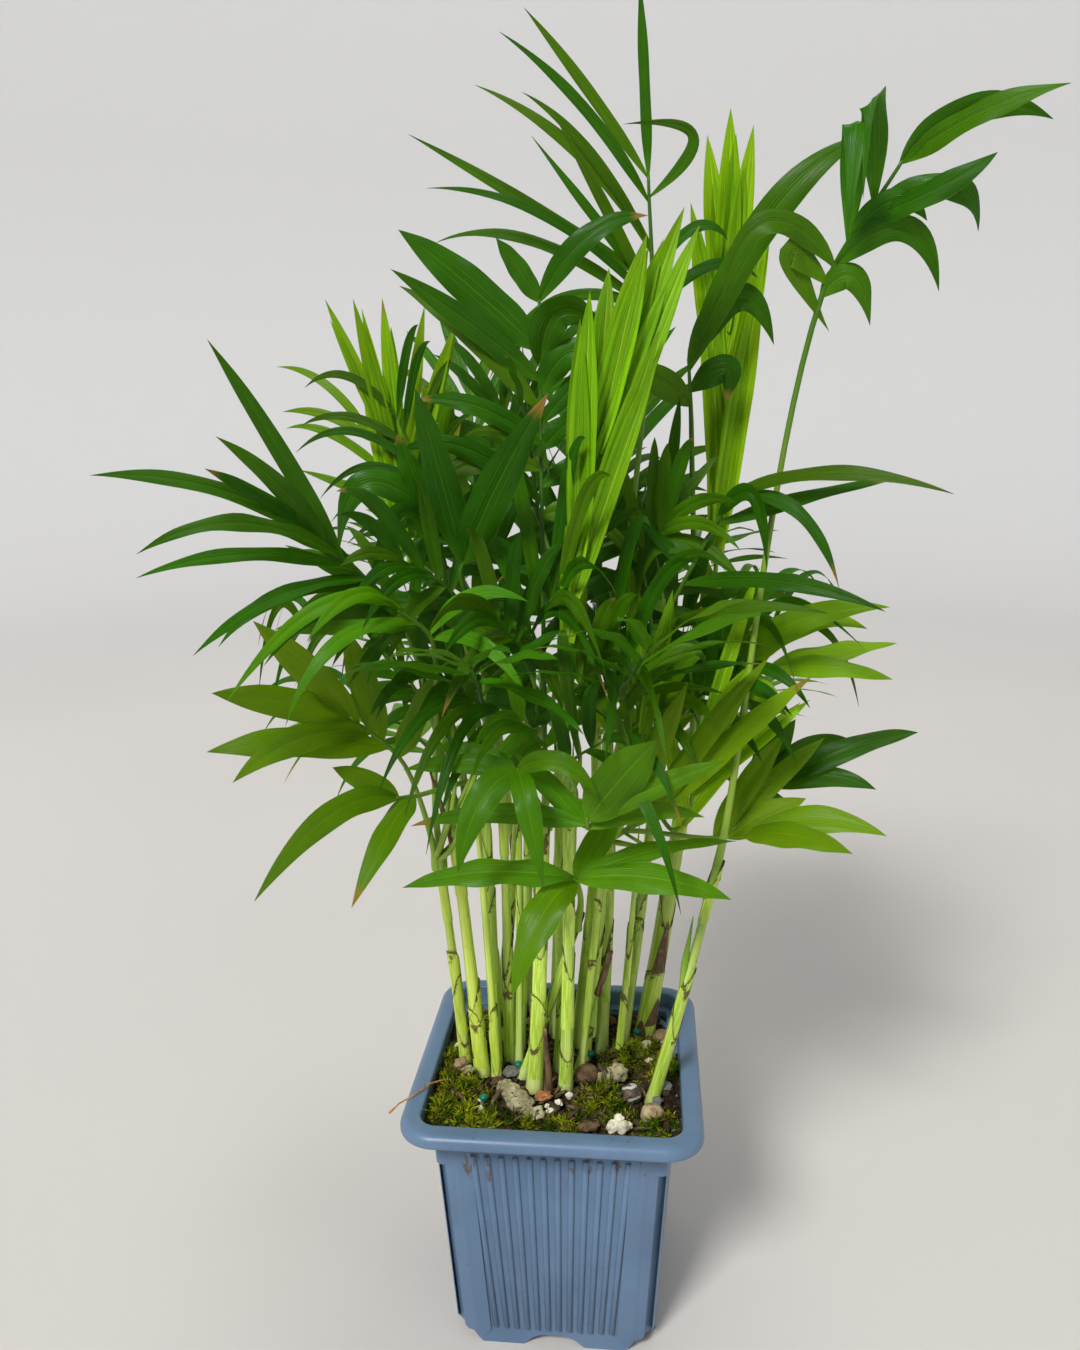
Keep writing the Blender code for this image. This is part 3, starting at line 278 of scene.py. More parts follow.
TURN = 2 * math.pi
pot_low, pot_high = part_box("pot")
HOME = Vector(((pot_low.x + pot_high.x) / 2, (pot_low.y + pot_high.y) / 2, pot_low.z))


def at(x, y, z):
    """A place in the layout as a place in the frame, in metres."""
    return HOME + Vector((x, y, z)) * MM


def around(angle, reach=1.0, height=0.0):
    """A point at an angle on a level circle, and how high it is."""
    return Vector((math.cos(angle) * reach, math.sin(angle) * reach, height))


def between(one, other, angle):
    """The way that points at an angle from one way towards another."""
    return one * math.cos(angle) + other * math.sin(angle)


# Layout: where every stem, rib and leaflet of the plant goes

def skin(rings, tip=None):
    """The points and faces of a closed shape drawn through rings of points."""
    count = len(rings[0])
    points = [p for ring in rings for p in ring]
    faces = [tuple(reversed(range(count)))]
    for level in range(len(rings) - 1):
        low = level * count
        for i in range(count):
            j = (i + 1) % count
            faces.append((low + i, low + j, low + count + j, low + count + i))
    last = (len(rings) - 1) * count
    if tip is None:
        faces.append(tuple(range(last, last + count)))
    else:
        points.append(tip)
        faces += [(last + i, last + (i + 1) % count, len(points) - 1) for i in range(count)]
    return points, faces


def tube_rings(path, radii, sides, level_foot=False):
    rings = []
    for i, point in enumerate(path):
        ahead = path[min(i + 1, len(path) - 1)] - path[max(i - 1, 0)]
        along = ahead.normalized()
        if level_foot and i == 0:
            along = UP
        side = along.cross(FRONT).normalized()
        other = along.cross(side)
        rings.append([point + between(side, other, TURN * k / sides) * radii[i] for k in range(sides)])
    return rings


def stem_path(number, table=STEMS):
    x, y, lean_x, lean_y, top, radius = table[number]
    foot = Vector((x, y, SOIL_TOP + CLEAR))
    rise = top - foot.z
    path = []
    radii = []
    for k in range(STEM_STEPS + 1):
        share = k / STEM_STEPS
        sway = STEM_SWAY * math.sin(share * math.pi)
        path.append(foot + Vector((lean_x * rise * share + sway, lean_y * rise * share, rise * share)))
        radii.append(radius * (1 - (1 - STEM_TAPER) * share))
    path.insert(1, path[0].lerp(path[1], FLARE_SHARE))
    radii.insert(1, radii[0])
    radii[0] *= FLARE
    return path, radii


def heading_vector(heading, rise, reach=1.0):
    h = math.radians(heading)
    r = math.radians(rise)
    return Vector((math.cos(h) * math.cos(r), math.sin(h) * math.cos(r), math.sin(r))) * reach


def hermite(a, b, leave, arrive, t):
    return (a * (2 * t**3 - 3 * t**2 + 1) + leave * (t**3 - 2 * t**2 + t)
            + b * (3 * t**2 - 2 * t**3) + arrive * (t**3 - t**2))


def rib_path(start, stem_way, crown, end, shift, finer=1):
    """The petiole up to the first leaflet, then the rachis to its end."""
    lower = (crown - start).length
    upper = (end - crown).length
    middle = ((crown - start).normalized() * 0.6 + (end - crown).normalized() * 0.4).normalized()
    steps = PETIOLE_STEPS * finer
    petiole = [hermite(start, crown, stem_way * lower * 0.6, middle * lower * 0.8, k / steps)
               for k in range(steps)]
    for k, point in enumerate(petiole):
        point += shift * math.sin(math.pi * k / steps)
    close = (end - crown).normalized()
    steps = RACHIS_STEPS * finer
    rachis = [hermite(crown, end, middle * upper, close * upper, k / steps) for k in range(steps + 1)]
    return petiole + rachis


def rib_radii(path):
    last = len(path) - 1
    return [PETIOLE_RADIUS + (RIB_END_RADIUS - PETIOLE_RADIUS) * k / last for k in range(last + 1)]


def place_on_rib(path, share, face):
    """A leaflet's root on the rachis, with the ways along and across the rib there."""
    rachis = path[PETIOLE_STEPS:]
    lengths = [(b - a).length for a, b in zip(rachis, rachis[1:])]
    left = share * sum(lengths)
    for a, b, length in zip(rachis, rachis[1:], lengths):
        if left <= length + 0.001:
            break
        left -= length
    along = (b - a).normalized()
    across = along.cross(face).normalized()
    return a.lerp(b, min(1.0, left / length)) - along * ROOT_SINK, along, across


def leaf_half_width(share, width):
    half = width / 2
    if share < LEAF_WIDEST:
        grown = LEAF_ROOT_SHARE + (1 - LEAF_ROOT_SHARE) * (share / LEAF_WIDEST) ** 0.8
        return half * grown
    return half * (1 - ((share - LEAF_WIDEST) / (1 - LEAF_WIDEST)) ** LEAF_TAPER)


def leaf_frames(leaf, steps=LEAF_STEPS):
    """Even steps along the curve: each point with the way along, across and out of the face."""
    root, bend, tip = leaf["root"], leaf["bend"], leaf["tip"]
    frames = []
    across = None
    for k in range(steps + 1):
        t = k / steps
        point = root * (1 - t)**2 + bend * 2 * t * (1 - t) + tip * t * t
        along = ((bend - root) * (1 - t) + (tip - bend) * t).normalized()
        if across is None:
            across = along.cross(leaf["face"]).normalized()
        else:
            across = before.rotation_difference(along) @ across
        across = (across - along * along.dot(across)).normalized()
        frames.append((point, along, across, across.cross(along)))
        before = along
    return frames


def leaf_rings(leaf, grow=0.0):
    """The solid leaflet's three-sided rings and its tip, grown on all sides where a gap is kept."""
    reach = (leaf["tip"] - leaf["root"]).length
    thick = max(LEAST_THICKNESS, THICKNESS_SHARE * reach)
    frames = leaf_frames(leaf)
    rings = []
    for step in leaf["stations"]:
        t = step / LEAF_STEPS
        point, along, across, out = frames[step]
        half = leaf_half_width(t, leaf["width"]) + grow
        rings.append([point + across * half + out * grow, point - across * half + out * grow,
                      point - out * (thick * (1 - 0.4 * t) + grow)])
    point, along = frames[-1][:2]
    return rings, point + along * grow


def placed_leaf(entry, path, face):
    """A leaflet placed one by one: straight with a light arch, or hooked."""
    share, heading, rise, reach = entry[:4]
    way = heading_vector(heading, rise)
    if len(entry) > 5:
        bend = heading_vector(*entry[4:7])
        stations = HOOKED_STATIONS
    else:
        bend = way * reach * 0.55 + UP * reach * LEAF_ARCH
        stations = STRAIGHT_STATIONS
    return {"root": place_on_rib(path, share, face)[0], "way": way * reach, "bend_way": bend,
            "stations": stations, "broad": entry[-1] if len(entry) in (5, 8) else 1.0}


def ruled_leaf(k, rule, path, face, dice):
    """A leaflet by the frond's rule: left and right by turns, shorter and closer towards the tip."""
    count, longest, spread_foot, spread_tip, droop = rule
    share = 1.0 if k >= count - 2 else k / (count - 1.5)
    side = 1 if k % 2 else -1
    root, along, across = place_on_rib(path, share, face)
    spread = math.radians(spread_foot + (spread_tip - spread_foot) * share + dice.uniform(-7, 7))
    lift = across.cross(along) * 0.14 * math.sin(spread)
    sag = droop * dice.uniform(0.7, 1.3)
    fullness = 0.72 + 0.28 * math.sin(math.pi * (0.15 + 0.75 * share))
    reach = longest * fullness * dice.uniform(0.88, 1.08)
    way = along * math.cos(spread) + across * side * math.sin(spread) + lift - UP * sag
    way = way.normalized() * reach
    return {"root": root, "way": way, "bend_way": way * 0.55 + UP * sag * reach * 1.4,
            "stations": STRAIGHT_STATIONS, "broad": 1.0}


def leaves_of(frond, path, dice):
    face = Vector(frond[4]).normalized()
    width, own, rule = frond[5], frond[7], frond[8]
    leaves = [placed_leaf(entry, path, face) for entry in own]
    if rule:
        leaves += [ruled_leaf(k, rule, path, face, dice) for k in range(rule[0])]
    for leaf in leaves:
        leaf["face"] = face
        leaf["width"] = width * leaf["broad"] * dice.uniform(0.9, 1.08)
        leaf["root"] = leaf["root"] + face * dice.uniform(-0.12, 0.12)
    return leaves


class Space:
    """Holds guard shells of placed pieces, and tells whether a new one touches another frond's."""

    def __init__(self):
        self.shells = []
        self.outer_shells = []

    @staticmethod
    def shell(rings, tip=None):
        points, faces = skin(rings, tip)
        low = Vector([min(p[i] for p in points) for i in range(3)])
        high = Vector([max(p[i] for p in points) for i in range(3)])
        return low, high, BVHTree.FromPolygons(points, faces)

    def add(self, node, shell, outer=None):
        self.shells.append((node, shell))
        if outer:
            self.outer_shells.append((node, outer))

    @staticmethod
    def meets(shell, other):
        low, high, tree = shell
        other_low, other_high, other_tree = other
        if any(low[i] > other_high[i] or high[i] < other_low[i] for i in range(3)):
            return False
        return bool(tree.overlap(other_tree))

    def touches(self, node, shell, outer=None):
        if any(owner != node and self.meets(shell, other) for owner, other in self.shells):
            return True
        return outer is not None and any(owner == node and self.meets(outer, other)
                                         for owner, other in self.outer_shells)


def bundle_starts(fronds):
    """Where each frond leaves its stem's top: one in the middle, several in a ring around it."""
    starts = {}
    for number in STEMS:
        path = stem_path(number)[0]
        way = (path[-1] - path[-2]).normalized()
        top = path[-1] + UP * (CLEAR + BUNDLE_LIFT)
        mine = [frond for frond in fronds if frond[1] == number]
        mine.sort(key=lambda frond: math.atan2(frond[2][1] - top.y, frond[2][0] - top.x))
        for k, frond in enumerate(mine):
            offset = Vector((0, 0, 0))
            if len(mine) > 1:
                first = math.atan2(mine[0][2][1] - top.y, mine[0][2][0] - top.x)
                offset = around(first + TURN * k / len(mine)) * BUNDLE_RADIUS
            starts[frond[0]] = (top + offset, way)
    return starts


def fit_ribs(space, fronds):
    """Bows each petiole aside until it is clear of stems and of the ribs before it."""
    paths = {}
    fine_paths = {}
    starts = bundle_starts(fronds)
    tries = [Vector((0, 0, 0))]
    for size in (1.5, 3, 4.5, 6, 8, 10):
        tries += [around(k * math.pi / 4) * size for k in range(8)]
    for frond in fronds:
        name = frond[0]
        start, way = starts[name]
        crown, end = Vector(frond[2]), Vector(frond[3])
        for shift in tries:
            path = rib_path(start, way, crown, end, shift)
            radii = [r + GUARD for r in rib_radii(path)]
            shell = Space.shell(tube_rings(path, radii, RIB_SIDES, level_foot=True))
            if not space.touches(name, shell):
                break
        paths[name] = path
        fine_paths[name] = rib_path(start, way, crown, end, shift, finer=4)
        space.add(name, shell)
    return paths, fine_paths


def turned(vector, axis, degrees):
    angle = math.radians(degrees)
    return (vector * math.cos(angle) + axis.cross(vector) * math.sin(angle)
            + axis * axis.dot(vector) * (1 - math.cos(angle)))


def leaf_changes():
    """What is tried in turn on a leaflet that isn't clear: how far it turns, lifts and shrinks."""
    changes = [(turn, 0, 1.0) for turn in (0, 8, -8, 16, -16, 25, -25)]
    for lifts, turns, scale in (((7, -7, 14, -14), (0, 12, -12, 24, -24), 0.97),
                                ((0, 10, -10, 20, -20), (0, 15, -15, 30, -30), 0.8),
                                ((0, 15, -15, 25, -25), (0, 20, -20, 40, -40), 0.6)):
        changes += [(turn, lift, scale) for lift in lifts for turn in turns]
    return changes


def fit_leaves(space, fronds, paths):
    """Turns or shortens each leaflet until it is clear, and skips one that never is."""
    dice = random.Random(SEED)
    changes = leaf_changes()
    fitted = {}
    for frond in fronds:
        name = frond[0]
        kept = []
        for leaf in leaves_of(frond, paths[name], dice):
            out = leaf["face"]
            side = leaf["way"].cross(out).normalized()
            for turn, lift, scale in changes:
                trial = dict(leaf)
                for part, way in (("tip", leaf["way"]), ("bend", leaf["bend_way"])):
                    trial[part] = leaf["root"] + turned(turned(way, side, turn), out, lift) * scale
                rings, tip = leaf_rings(trial, GUARD)
                shell = Space.shell(rings, tip)
                outer = Space.shell(leaf_rings(trial)[0][1:], tip)
                if not space.touches(name, shell, outer):
                    kept.append(trial)
                    space.add(name, shell, outer)
                    break
        fitted[name] = kept
    return fitted


# Finishes

class Value:
    """A number in a finish that plain arithmetic turns into nodes."""

    def __init__(self, finish, socket):
        self.finish = finish
        self.socket = socket

    def worked(self, operation, *others, clamp=False):
        return self.finish.node("ShaderNodeMath", {"operation": operation, "use_clamp": clamp},
                                dict(enumerate((self, *others))))

    def __add__(self, other):
        return self.worked("ADD", other)

    def __sub__(self, other):
        return self.worked("SUBTRACT", other)

    def __rsub__(self, other):
        return (self * -1.0).worked("ADD", other)

    def __mul__(self, other):
        return self.worked("MULTIPLY", other)

    __radd__ = __add__
    __rmul__ = __mul__

    def size(self):
        return self.worked("ABSOLUTE")

    def sine(self):
        return self.worked("SINE")

    def most(self, other):
        return self.worked("MAXIMUM", other)

    def held(self):
        return self.worked("ADD", 0.0, clamp=True)

    def step(self, low, high):
        """Rises smoothly from 0 at low to 1 at high; falls where high is the lesser."""
        return self.finish.node("ShaderNodeMapRange", {"interpolation_type": "SMOOTHSTEP"},
                                {"Value": self, "From Min": low, "From Max": high})


class Finish:
    """A material, built on its Principled shader."""

    def __init__(self, name, roughness, gloss=0.5):
        self.material = bpy.data.materials.new(name)
        self.material.use_nodes = True
        self.tree = self.material.node_tree
        self.shader = self.tree.nodes["Principled BSDF"]
        self.shader.inputs["Roughness"].default_value = roughness
        self.shader.inputs["Specular IOR Level"].default_value = gloss

    def node(self, kind, settings, sockets, output=0):
        made = self.tree.nodes.new(kind)
        for name, value in settings.items():
            setattr(made, name, value)
        for name, value in sockets.items():
            self.feed(made.inputs[name], value)
        return Value(self, made.outputs[output])

    def feed(self, socket, value):
        if isinstance(value, Value):
            self.tree.links.new(value.socket, socket)
        elif isinstance(value, tuple) and socket.type == "RGBA":
            socket.default_value = (*value, 1)
        else:
            socket.default_value = value

    def spot(self, scale=(1, 1, 1), turn=(0, 0, 0)):
        """Where on the object a point is, stretched and turned."""
        place = self.node("ShaderNodeTexCoord", {}, {}, "Object")
        return self.node("ShaderNodeMapping", {}, {"Vector": place, "Scale": scale, "Rotation": turn})

    def blade_place(self):
        """The piece's own map, with how far across and how far along it a point is."""
        place = self.node("ShaderNodeUVMap", {"uv_map": "blade"}, {})
        return place, *(self.node("ShaderNodeSeparateXYZ", {}, {0: place}, axis) for axis in "XY")

    def tint(self):
        """The three numbers that the piece's own colour attribute holds."""
        colour = self.node("ShaderNodeAttribute", {"attribute_name": "tint"}, {}, "Color")
        return [self.node("ShaderNodeSeparateColor", {}, {0: colour}, k) for k in range(3)]

    def noise(self, place, scale, detail=2.0, roughness=0.5):
        return self.node("ShaderNodeTexNoise", {}, {"Vector": place, "Scale": scale, "Detail": detail,
                                                    "Roughness": roughness})

    def streaks(self, place, across, along, detail=2.0, roughness=0.5):
        """Noise on the piece's own map, so many patches across it and so many along it."""
        stretched = self.node("ShaderNodeMapping", {}, {"Vector": place, "Scale": (across, along, 1)})
        return self.noise(stretched, 1.0, detail, roughness)

    def mix(self, share, first, second, blend="MIX"):
        return self.node("ShaderNodeMix", {"data_type": "RGBA", "blend_type": blend},
                         {0: share, 6: first, 7: second}, 2)

    def shaded(self, body, shade):
        """The colour made lighter or darker by the piece's own shade."""
        grey = self.node("ShaderNodeCombineColor", {}, {0: shade, 1: shade, 2: shade})
        return self.mix(1.0, body, grey, "MULTIPLY")

    def done(self, colour, roughness=None, bumps=None, glow=None):
        """Feeds the shader. Bumps are a height, a strength and a distance. A glow is the colour and the
        share of the light that a thin sheet lets through."""
        inputs = self.shader.inputs
        self.feed(inputs["Base Color"], colour)
        if roughness is not None:
            self.feed(inputs["Roughness"], roughness)
        if bumps:
            raised = self.node("ShaderNodeBump", {}, dict(zip(("Height", "Strength", "Distance"), bumps)))
            self.feed(inputs["Normal"], raised)
        if glow:
            through = self.node("ShaderNodeBsdfTranslucent", {}, {"Color": glow[0]})
            if bumps:
                self.feed(through.socket.node.inputs["Normal"], raised)
            shader = Value(self, self.shader.outputs[0])
            mixed = self.node("ShaderNodeMixShader", {}, {0: glow[1], 1: shader, 2: through})
            self.feed(self.tree.nodes["Material Output"].inputs["Surface"], mixed)
        return self.material


OLIVE_GREEN = (0.26, 0.34, 0.006)
STRIPE_AND_FOLD_SHADE_GREEN = (0.070, 0.22, 0.001)
THREAD_AND_HIGHLIGHT_GREEN = (0.60, 0.86, 0.09)
TIP_BROWN = (0.30, 0.17, 0.035)
STEM_YELLOW = (0.76, 0.78, 0.08)
SCAR_AND_FOOT_SHADE_BROWN = (0.050, 0.026, 0.008)


def leaf_finish(kind):
    """Lengthwise veins, a pale midrib, mottling and the leaflet's own tint and dry tip. A young one
    has darker and paler stripes along its folds: partly its own striping, partly painted shade in the
    folds and painted highlights on the ridges."""
    look = LOOKS[kind]
    deep, light, vein = look["greens"]
    roughness = look["roughness"]
    finish = Finish("leaf_" + kind, roughness, 0.16)
    place, across, along = finish.blade_place()
    shade, yellow, dry = finish.tint()
    cloud = finish.noise(finish.spot(), 90.0, 3.0, 0.6)
    fine = finish.streaks(place, 34, 5, 3.0, 0.6)
    veins = (across * (math.pi * look["veins"])).sine().size().step(0.24, 0.0)
    lines = (across * (math.pi * look["veins"] * 4)).sine().size().step(0.6, 0.1)
    midrib = ((across - 0.5).size() * 2.0).step(0.07, 0.02)
    body = finish.mix((cloud.step(0.3, 0.7) * 0.5 + fine * 0.5).held(), deep, light)
    body = finish.mix((veins * 0.34 + lines * 0.14).held(), body, vein)
    body = finish.mix(midrib * 0.40, body, vein)
    body = finish.mix(along.step(0.16, 0.0) * 0.40, body, vein)
    body = finish.mix(yellow, body, OLIVE_GREEN)
    striped = look["striped"]
    if striped:
        # Darker stripes: partly the spear's own, partly painted shade in its folds. Pale threads: partly its
        # own, partly painted highlights.
        body = finish.mix(finish.streaks(place, 7, 0.7).step(0.42, 0.66) * striped, body, STRIPE_AND_FOLD_SHADE_GREEN)
        body = finish.mix(finish.streaks(place, 15, 0.5).step(0.54, 0.66) * striped, body, THREAD_AND_HIGHLIGHT_GREEN)
    tip = (along + fine * 0.10).step(0.90, 0.99) * dry
    body = finish.mix(tip, finish.shaded(body, shade), TIP_BROWN)
    height = veins * 0.8 + lines * 0.25 + fine * 0.35 - midrib * 1.0
    return finish.done(body, (fine * 0.16 + cloud * 0.10 + (roughness - 0.12)) + tip * 0.3,
                       (height, 0.55, 0.00022), look["glow"])


def rib_finish():
    """Smooth pale green ribs with paler streaks, deeper green towards their ends, most of all on dark fronds.
    """
    finish = Finish("rib_green", 0.36, 0.3)
    place, _, along = finish.blade_place()
    streak = finish.streaks(place, 9, 3, 3.0)
    deep = finish.tint()[1]
    body = finish.mix(along.step(0.0, 0.85), (0.28, 0.44, 0.05), (0.14, 0.30, 0.015))
    body = finish.mix(streak.step(0.4, 0.75) * 0.5, body, (0.34, 0.50, 0.07))
    body = finish.mix(deep * along.step(0.15, 0.55), body, (0.030, 0.115, 0.006))
    return finish.done(body, bumps=(streak, 0.4, 0.0002))


def stem_finish():
    """Pale green sheaths with lengthwise streaks, broad paler bands that are partly their own colour and
    partly painted highlights, brown scars, and a dark brown foot that is partly its own colour and partly
    painted shade where it meets the compost.
    """
    finish = Finish("stem_pale_green", 0.30, 0.50)
    place, _, along = finish.blade_place()
    shade, yellow, _ = finish.tint()
    streaks = finish.streaks(place, 22, 1.3, 4.0, 0.7)
    broad = finish.streaks(place, 5, 0.9)
    cloud = finish.noise(finish.spot(), 120.0, 3.0)
    flecks = finish.noise(finish.spot((1, 1, 0.35)), 620.0, 2.0, 0.6)
    scars = finish.noise(finish.spot((1, 1, 0.28), (0.3, 0.2, 0)), 210.0, 3.0, 0.7)
    body = finish.mix(streaks.step(0.36, 0.64), (0.27, 0.49, 0.018), (0.72, 0.90, 0.18))
    # Broad paler bands along the stem: partly its own paler streaks, partly painted highlights.
    body = finish.mix(broad.step(0.48, 0.64) * 0.50, body, (0.86, 0.96, 0.42))
    body = finish.mix(along.step(0.30, 0.0) * 0.55, body, (0.70, 0.80, 0.36))
    body = finish.mix(along.step(0.45, 1.0) * 0.6, body, (0.17, 0.38, 0.012))
    body = finish.shaded(finish.mix(yellow, body, STEM_YELLOW), shade)
    brown = (flecks.step(0.68, 0.76) * 0.6 + scars.step(0.675, 0.725)).held()
    # A dark brown foot: partly the stem's own brownish base, partly painted shade where it meets the compost.
    foot = (along + cloud * 0.08).step(0.095, 0.035)
    body = finish.mix((brown * 0.85 + foot * 0.65).held(), body, SCAR_AND_FOOT_SHADE_BROWN)
    return finish.done(body, streaks * 0.2 + brown * 0.25 + 0.22,
                       (streaks + broad - brown * 0.6, 0.6, 0.0003))


def sheath_finish():
    """A sheath like its stem, with a thin brown edge round its mouth that withers downwards in places."""
    finish = Finish("sheath_green", 0.32, 0.45)
    place, _, along = finish.blade_place()
    shade, yellow, dry = finish.tint()
    streaks = finish.streaks(place, 20, 1.0, 4.0, 0.7)
    patches = finish.noise(finish.spot(), 330.0, 3.0, 0.65)
    body = finish.mix(streaks.step(0.36, 0.64), (0.31, 0.54, 0.020), (0.74, 0.91, 0.19))
    body = finish.shaded(finish.mix(yellow, body, STEM_YELLOW), shade)
    edge = (along + patches * 0.04).step(0.978, 0.994) * 0.9
    blotch = patches.step(0.47, 0.57) * (along + patches * 0.2).step(0.94, 1.02)
    withered = (along + patches * 0.9 - 0.45 + dry * 0.42).step(1.14, 1.26)
    brown = edge.most(blotch).most(withered)
    dark = finish.mix(patches.step(0.35, 0.7), (0.020, 0.008, 0.003), (0.12, 0.060, 0.020))
    return finish.done(finish.mix(brown * 0.92, body, dark), streaks * 0.2 + brown * 0.3 + 0.3,
                       (streaks + brown * patches, 0.5, 0.0003))


def plastic_finish():
    """Moulded blue-grey plastic with a faint grain, scuffs and brown splashes of soil."""
    finish = Finish("pot_blue_grey", 0.45, 0.4)
    spot = finish.spot()
    height = finish.node("ShaderNodeSeparateXYZ", {}, {0: spot}, "Z")
    grain = finish.noise(spot, 2600.0, 2.0)
    cloud = finish.noise(spot, 42.0, 4.0, 0.6)
    drips = finish.noise(finish.spot((1, 1, 0.30)), 420.0, 4.0, 0.75)
    specks = finish.noise(spot, 760.0, 3.0, 0.65)
    patches = finish.noise(spot, 55.0, 3.0, 0.6)
    body = finish.mix(cloud.step(0.3, 0.7), (0.098, 0.168, 0.275), (0.128, 0.210, 0.330))
    high = height.step(0.034, 0.057) * height.step(0.0622, 0.0612)
    splash = (drips * 0.62 + patches * 0.38 + high * 0.12).step(0.650, 0.700)
    dots = specks.step(0.665, 0.72) * patches.step(0.40, 0.60)
    dirt = (splash * 0.75 + dots * 0.8).held()
    earth = finish.mix(grain.step(0.3, 0.7), (0.060, 0.030, 0.014), (0.15, 0.085, 0.04))
    return finish.done(finish.mix(dirt, body, earth), cloud * 0.12 + dirt * 0.4 + 0.30,
                       (grain * 0.12 + dirt * 0.9, 0.4, 0.00025))


def soil_finish():
    """Dark crumbly compost, with moss green over its mounds."""
    finish = Finish("compost", 0.95, 0.1)
    moss = finish.tint()[0]
    spot = finish.spot()
    crumbs = finish.node("ShaderNodeTexVoronoi", {}, {"Vector": spot, "Scale": 900.0}, "Distance")
    cloud = finish.noise(spot, 350.0, 4.0, 0.7)
    body = finish.mix(cloud.step(0.3, 0.75), (0.010, 0.007, 0.004), (0.060, 0.036, 0.020))
    body = finish.mix(finish.noise(spot, 1400.0, 2.0).step(0.62, 0.70), body, (0.16, 0.10, 0.055))
    green = finish.mix(cloud.step(0.35, 0.65), (0.035, 0.055, 0.004), (0.12, 0.16, 0.012))
    return finish.done(finish.mix(moss, body, green), bumps=(crumbs * 0.8 + cloud, 0.9, 0.0009))


def moss_finish():
    """Shoots from deep to yellowish green, brown where they are dry."""
    finish = Finish("moss_green", 0.75, 0.1)
    shade, yellow, dry = finish.tint()
    body = finish.mix(yellow, (0.028, 0.085, 0.002), (0.44, 0.48, 0.012))
    body = finish.shaded(finish.mix(dry, body, (0.17, 0.09, 0.02)), shade)
    return finish.done(body, glow=((0.35, 0.48, 0.02), 0.25))


def stone_finish(name, ground, second, spots, scale, spotted):
    """A rough stone of two mottled colours with darker or paler spots."""
    finish = Finish(name, 0.85, 0.2)
    spot = finish.spot()
    cloud = finish.noise(spot, scale, 4.0, 0.65)
    pits = finish.noise(spot, scale * 3.4, 3.0, 0.6)
    body = finish.mix(cloud.step(0.35, 0.65), ground, second)
    body = finish.mix(pits.step(spotted, spotted + 0.08), body, spots)
    return finish.done(body, bumps=(cloud + pits * 0.7, 0.7, 0.0006))


def striped_finish():
    """Dark pebble with bent pale bands."""
    finish = Finish("striped_stone", 0.55)
    spot = finish.spot(turn=(0.5, 0.3, 0.2))
    bands = finish.node("ShaderNodeTexWave", {"bands_direction": "Z"},
                        {"Vector": spot, "Scale": 120.0, "Distortion": 5.0, "Detail": 2.0,
                         "Detail Scale": 1.6})
    cloud = finish.noise(spot, 500.0, 3.0)
    body = finish.mix(cloud.step(0.35, 0.65), (0.045, 0.035, 0.040), (0.12, 0.075, 0.055))
    return finish.done(finish.mix(bands.step(0.86, 0.95), body, (0.55, 0.52, 0.48)),
                       bumps=(cloud, 0.5, 0.0004))


def mottled_finish(name, roughness, scale, first, second):
    """Two close colours in soft patches, for waxy feed balls and the loose root."""
    finish = Finish(name, roughness)
    return finish.done(finish.mix(finish.noise(finish.spot(), scale, 2.0).step(0.35, 0.65), first, second))


def dry_finish():
    """Withered brown sheath, almost black in places."""
    finish = Finish("withered_brown", 0.7)
    place = finish.blade_place()[0]
    streaks = finish.streaks(place, 12, 3, 3.0)
    cloud = finish.noise(finish.spot(), 260.0, 3.0)
    body = finish.mix(streaks.step(0.3, 0.7), (0.045, 0.022, 0.010), (0.20, 0.12, 0.055))
    body = finish.mix(cloud.step(0.55, 0.7), body, (0.30, 0.22, 0.12))
    return finish.done(finish.shaded(body, finish.tint()[0]), bumps=(streaks, 0.6, 0.0004))


# Meshes made of grids: blades, sheaths, stems and ribs

def placed(piece, finish, nodes=()):
    """Gives a finished piece its material and its place in the frame."""
    piece.data.materials.clear()
    piece.data.materials.append(finish)
    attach(piece, "root")
    if nodes:
        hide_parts(*nodes)


def mesh_piece(name, points, faces, tints, finish, nodes=(), maps=()):
    """A smooth mesh with a tint at each point and, where they are given, its own maps."""
    mesh = bpy.data.meshes.new(name)
    mesh.from_pydata([HOME + p * MM for p in points], [], faces)
    for map_name, flat in maps:
        mesh.uv_layers.new(name=map_name).data.foreach_set("uv", flat)
    if maps:
        mesh.uv_layers.active = mesh.uv_layers["blade"]
        mesh.uv_layers["blade"].active_render = True
    colours = mesh.color_attributes.new("tint", "FLOAT_COLOR", "POINT")
    colours.data.foreach_set("color", [x for tint in tints for x in (*tint, 1.0)])
    mesh.shade_smooth()
    piece = bpy.data.objects.new(name, mesh)
    bpy.context.collection.objects.link(piece)
    placed(piece, finish, nodes)


